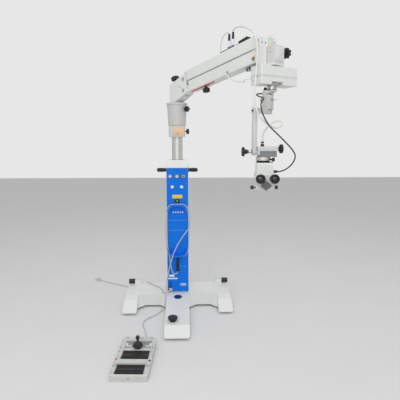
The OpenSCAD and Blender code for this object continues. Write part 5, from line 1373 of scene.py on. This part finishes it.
class MICROSCOPE_OT_foot_switch(bpy.types.Operator):
    """Adds the treads, buttons, screws and bellows of the foot switch"""
    bl_idname = "microscope.foot_switch"
    bl_label = "Foot switch"

    rise: angle("Rise", "Slope of the top of the foot switch", 2.74)

    def top(self, y):
        return 36 + 18 * (y / 376 + 0.5)

    def on_top(self, x, y, proud=0.0):
        return on_pedal(x, y, self.top(y) + proud, Matrix.Rotation(self.rise, 4, "X"))

    def execute(self, context):
        for node, x, y in (("rocker_rear", 6, -1.9), ("rocker_front", 0, -135.4)):
            self.tread(node, x, y)
        tray_x, tray_y = 6, 95.9
        tray = slab(0.146, 0.0975, 0.0008, 0.004, 0.0002)
        well = turned([(0.0245, -0.004), (0.0245, 0.004)], 48)
        tray = carved(tray, put(well, at((STICK[0] - tray_x) * MM, (STICK[1] - tray_y) * MM, 0)))
        fit(tray, self.on_top(tray_x, tray_y, -6.0), "tray_plate", "stand", "recess_plate")
        self.trim()
        self.buttons()
        self.bellows()
        return {"FINISHED"}

    def tread(self, node, x, y):
        top = pivot(node + "_tilt") / MM
        rib = slab(0.138, 0.0016, 0.0009, 0, 0.0003)
        places = []
        for half in (-1, 1):
            for i in range(6):
                along = half * (9 + 4.6 * i)
                lift = 7.7 + 4.2 * (abs(along) - 7.6) / 29.6
                lean = Matrix.Rotation(half * radians(8.1), 4, "X")
                places.append(pedal_at(top) @ at(0, along * MM, lift * MM, lean))
        fit(rib, places, node + "_tread", node, "caster_tread")

    def trim(self):
        head = dome(0.0072, 0.0042)
        spots = ((-73, 180), (71, 180), (-91, -104), (91, -104))
        fit(head, [self.on_top(x, y, -0.2) for x, y in spots], "housing_screws", "stand", "steel")
        washer = ring(0.0070, 0.0094, 0.0008)
        fit(washer, [self.on_top(x, y, -0.1) for x, y in spots], "housing_washers", "stand", "steel")
        block = slab(0.026, 0.014, 0.0050, 0.002, 0.0008)
        fit(block, [self.on_top(-44, 92, -5.3), self.on_top(60, 92, -5.3)], "tray_blocks", "stand",
            "grey_plastic")
        pad = slab(0.012, 0.030, 0.0032, 0.002, 0.0008)
        fit(pad, [self.on_top(-62, 110, -5.3), self.on_top(74, 110, -5.3)], "tray_pads", "stand",
            "white_plate")
        gap = slab(0.158, 0.0010, 0.0004)
        fit(gap, [self.on_top(0, -93.6, 0.0), self.on_top(6, -45.0, 0.0)], "tread_gaps", "stand", "dark_gap")

    def buttons(self):
        for name, radius, height, x, y, finish in (
                ("red_button", 0.0062, 0.0058, -89, -46, "red_cap"),
                ("black_button", 0.0052, 0.0046, 91, -57, "black_plastic"),
                ("white_button", 0.0052, 0.0044, 88, -80, "white_plate")):
            fit(dome(radius, height), self.on_top(x, y, -0.2), name, "stand", finish)
        dot = turned([(0.0030, 0), (0.0030, 0.0008), (0.0022, 0.0012)], 20)
        fit(dot, on_pedal(0, -188, 17, FACING_FRONT), "front_plug", "stand", "caster_tread")
        slot = slab(0.004, 0.010, 0.0005, 0.0012, 0.0001)
        spots = [(-90, 30), (-90, 70), (91, 30), (91, 70)]
        fit(slot, [self.on_top(x, y) for x, y in spots], "rail_slots", "stand", "dark_gap")

    def bellows(self):
        step = 12.2
        profile = [(2.32, 2.0), (2.36, 2.15), (2.20, 2.32), (2.28, 2.46), (2.02, 2.66), (2.08, 2.8),
                   (1.80, 2.98), (1.84, 3.1), (1.60, 3.3), (1.62, 3.42), (1.30, 3.6), (1.00, 3.86)]
        boot = turned([(r * step * MM, z * step * MM) for r, z in profile], 48)
        fit(boot, here(PEDAL, 0, 0, 0), "joystick_bellows", "joystick", "caster_tread")
        cap = dome(0.0052, 0.0012)
        fit(cap, here(PEDAL, 0, 0, 7.1 * step - 0.6), "joystick_cap", "joystick", "fork_steel")


# ---------------------------------------------------------------- the add-on

OPERATORS = (
    MICROSCOPE_OT_stage, MICROSCOPE_OT_finishes, MICROSCOPE_OT_cables, MICROSCOPE_OT_base_fittings,
    MICROSCOPE_OT_panel_fittings, MICROSCOPE_OT_carrier_fittings, MICROSCOPE_OT_arm_fittings,
    MICROSCOPE_OT_head_fittings, MICROSCOPE_OT_hanger_fittings, MICROSCOPE_OT_optics,
    MICROSCOPE_OT_foot_switch,
)


class MICROSCOPE_PT_panel(bpy.types.Panel):
    """Lists the steps in the 3D view's sidebar"""
    bl_idname = "MICROSCOPE_PT_panel"
    bl_label = "Microscope"
    bl_space_type = "VIEW_3D"
    bl_region_type = "UI"
    bl_category = "Microscope"

    def draw(self, context):
        layout = self.layout
        for operator in OPERATORS:
            layout.operator(operator.bl_idname)
        for group in SETTINGS:
            column = layout.column()
            settings = getattr(context.scene, group)
            for name in settings.bl_rna.properties.keys():
                if name not in {"rna_type", "name"}:
                    column.prop(settings, name)


SETTINGS = {
    "microscope_paint": PaintColours, "microscope_plastic": PlasticColours, "microscope_metal": MetalColours,
    "microscope_cord": CordColours, "microscope_camera": PlaceOfCamera,
}
CLASSES = (*SETTINGS.values(), *OPERATORS, MICROSCOPE_PT_panel)


def register():
    for made in CLASSES:
        bpy.utils.register_class(made)
    for name, group in SETTINGS.items():
        setattr(bpy.types.Scene, name, bpy.props.PointerProperty(type=group))


def unregister():
    for name in SETTINGS:
        delattr(bpy.types.Scene, name)
    for made in reversed(CLASSES):
        bpy.utils.unregister_class(made)


def call(operator):
    group, name = operator.bl_idname.split(".")
    if getattr(getattr(bpy.ops, group), name)() != {"FINISHED"}:
        raise RuntimeError(operator.bl_label + " did not finish")


def main():
    register()
    for operator in OPERATORS:
        call(operator)
    deselect()


if __name__ == "__main__":
    main()
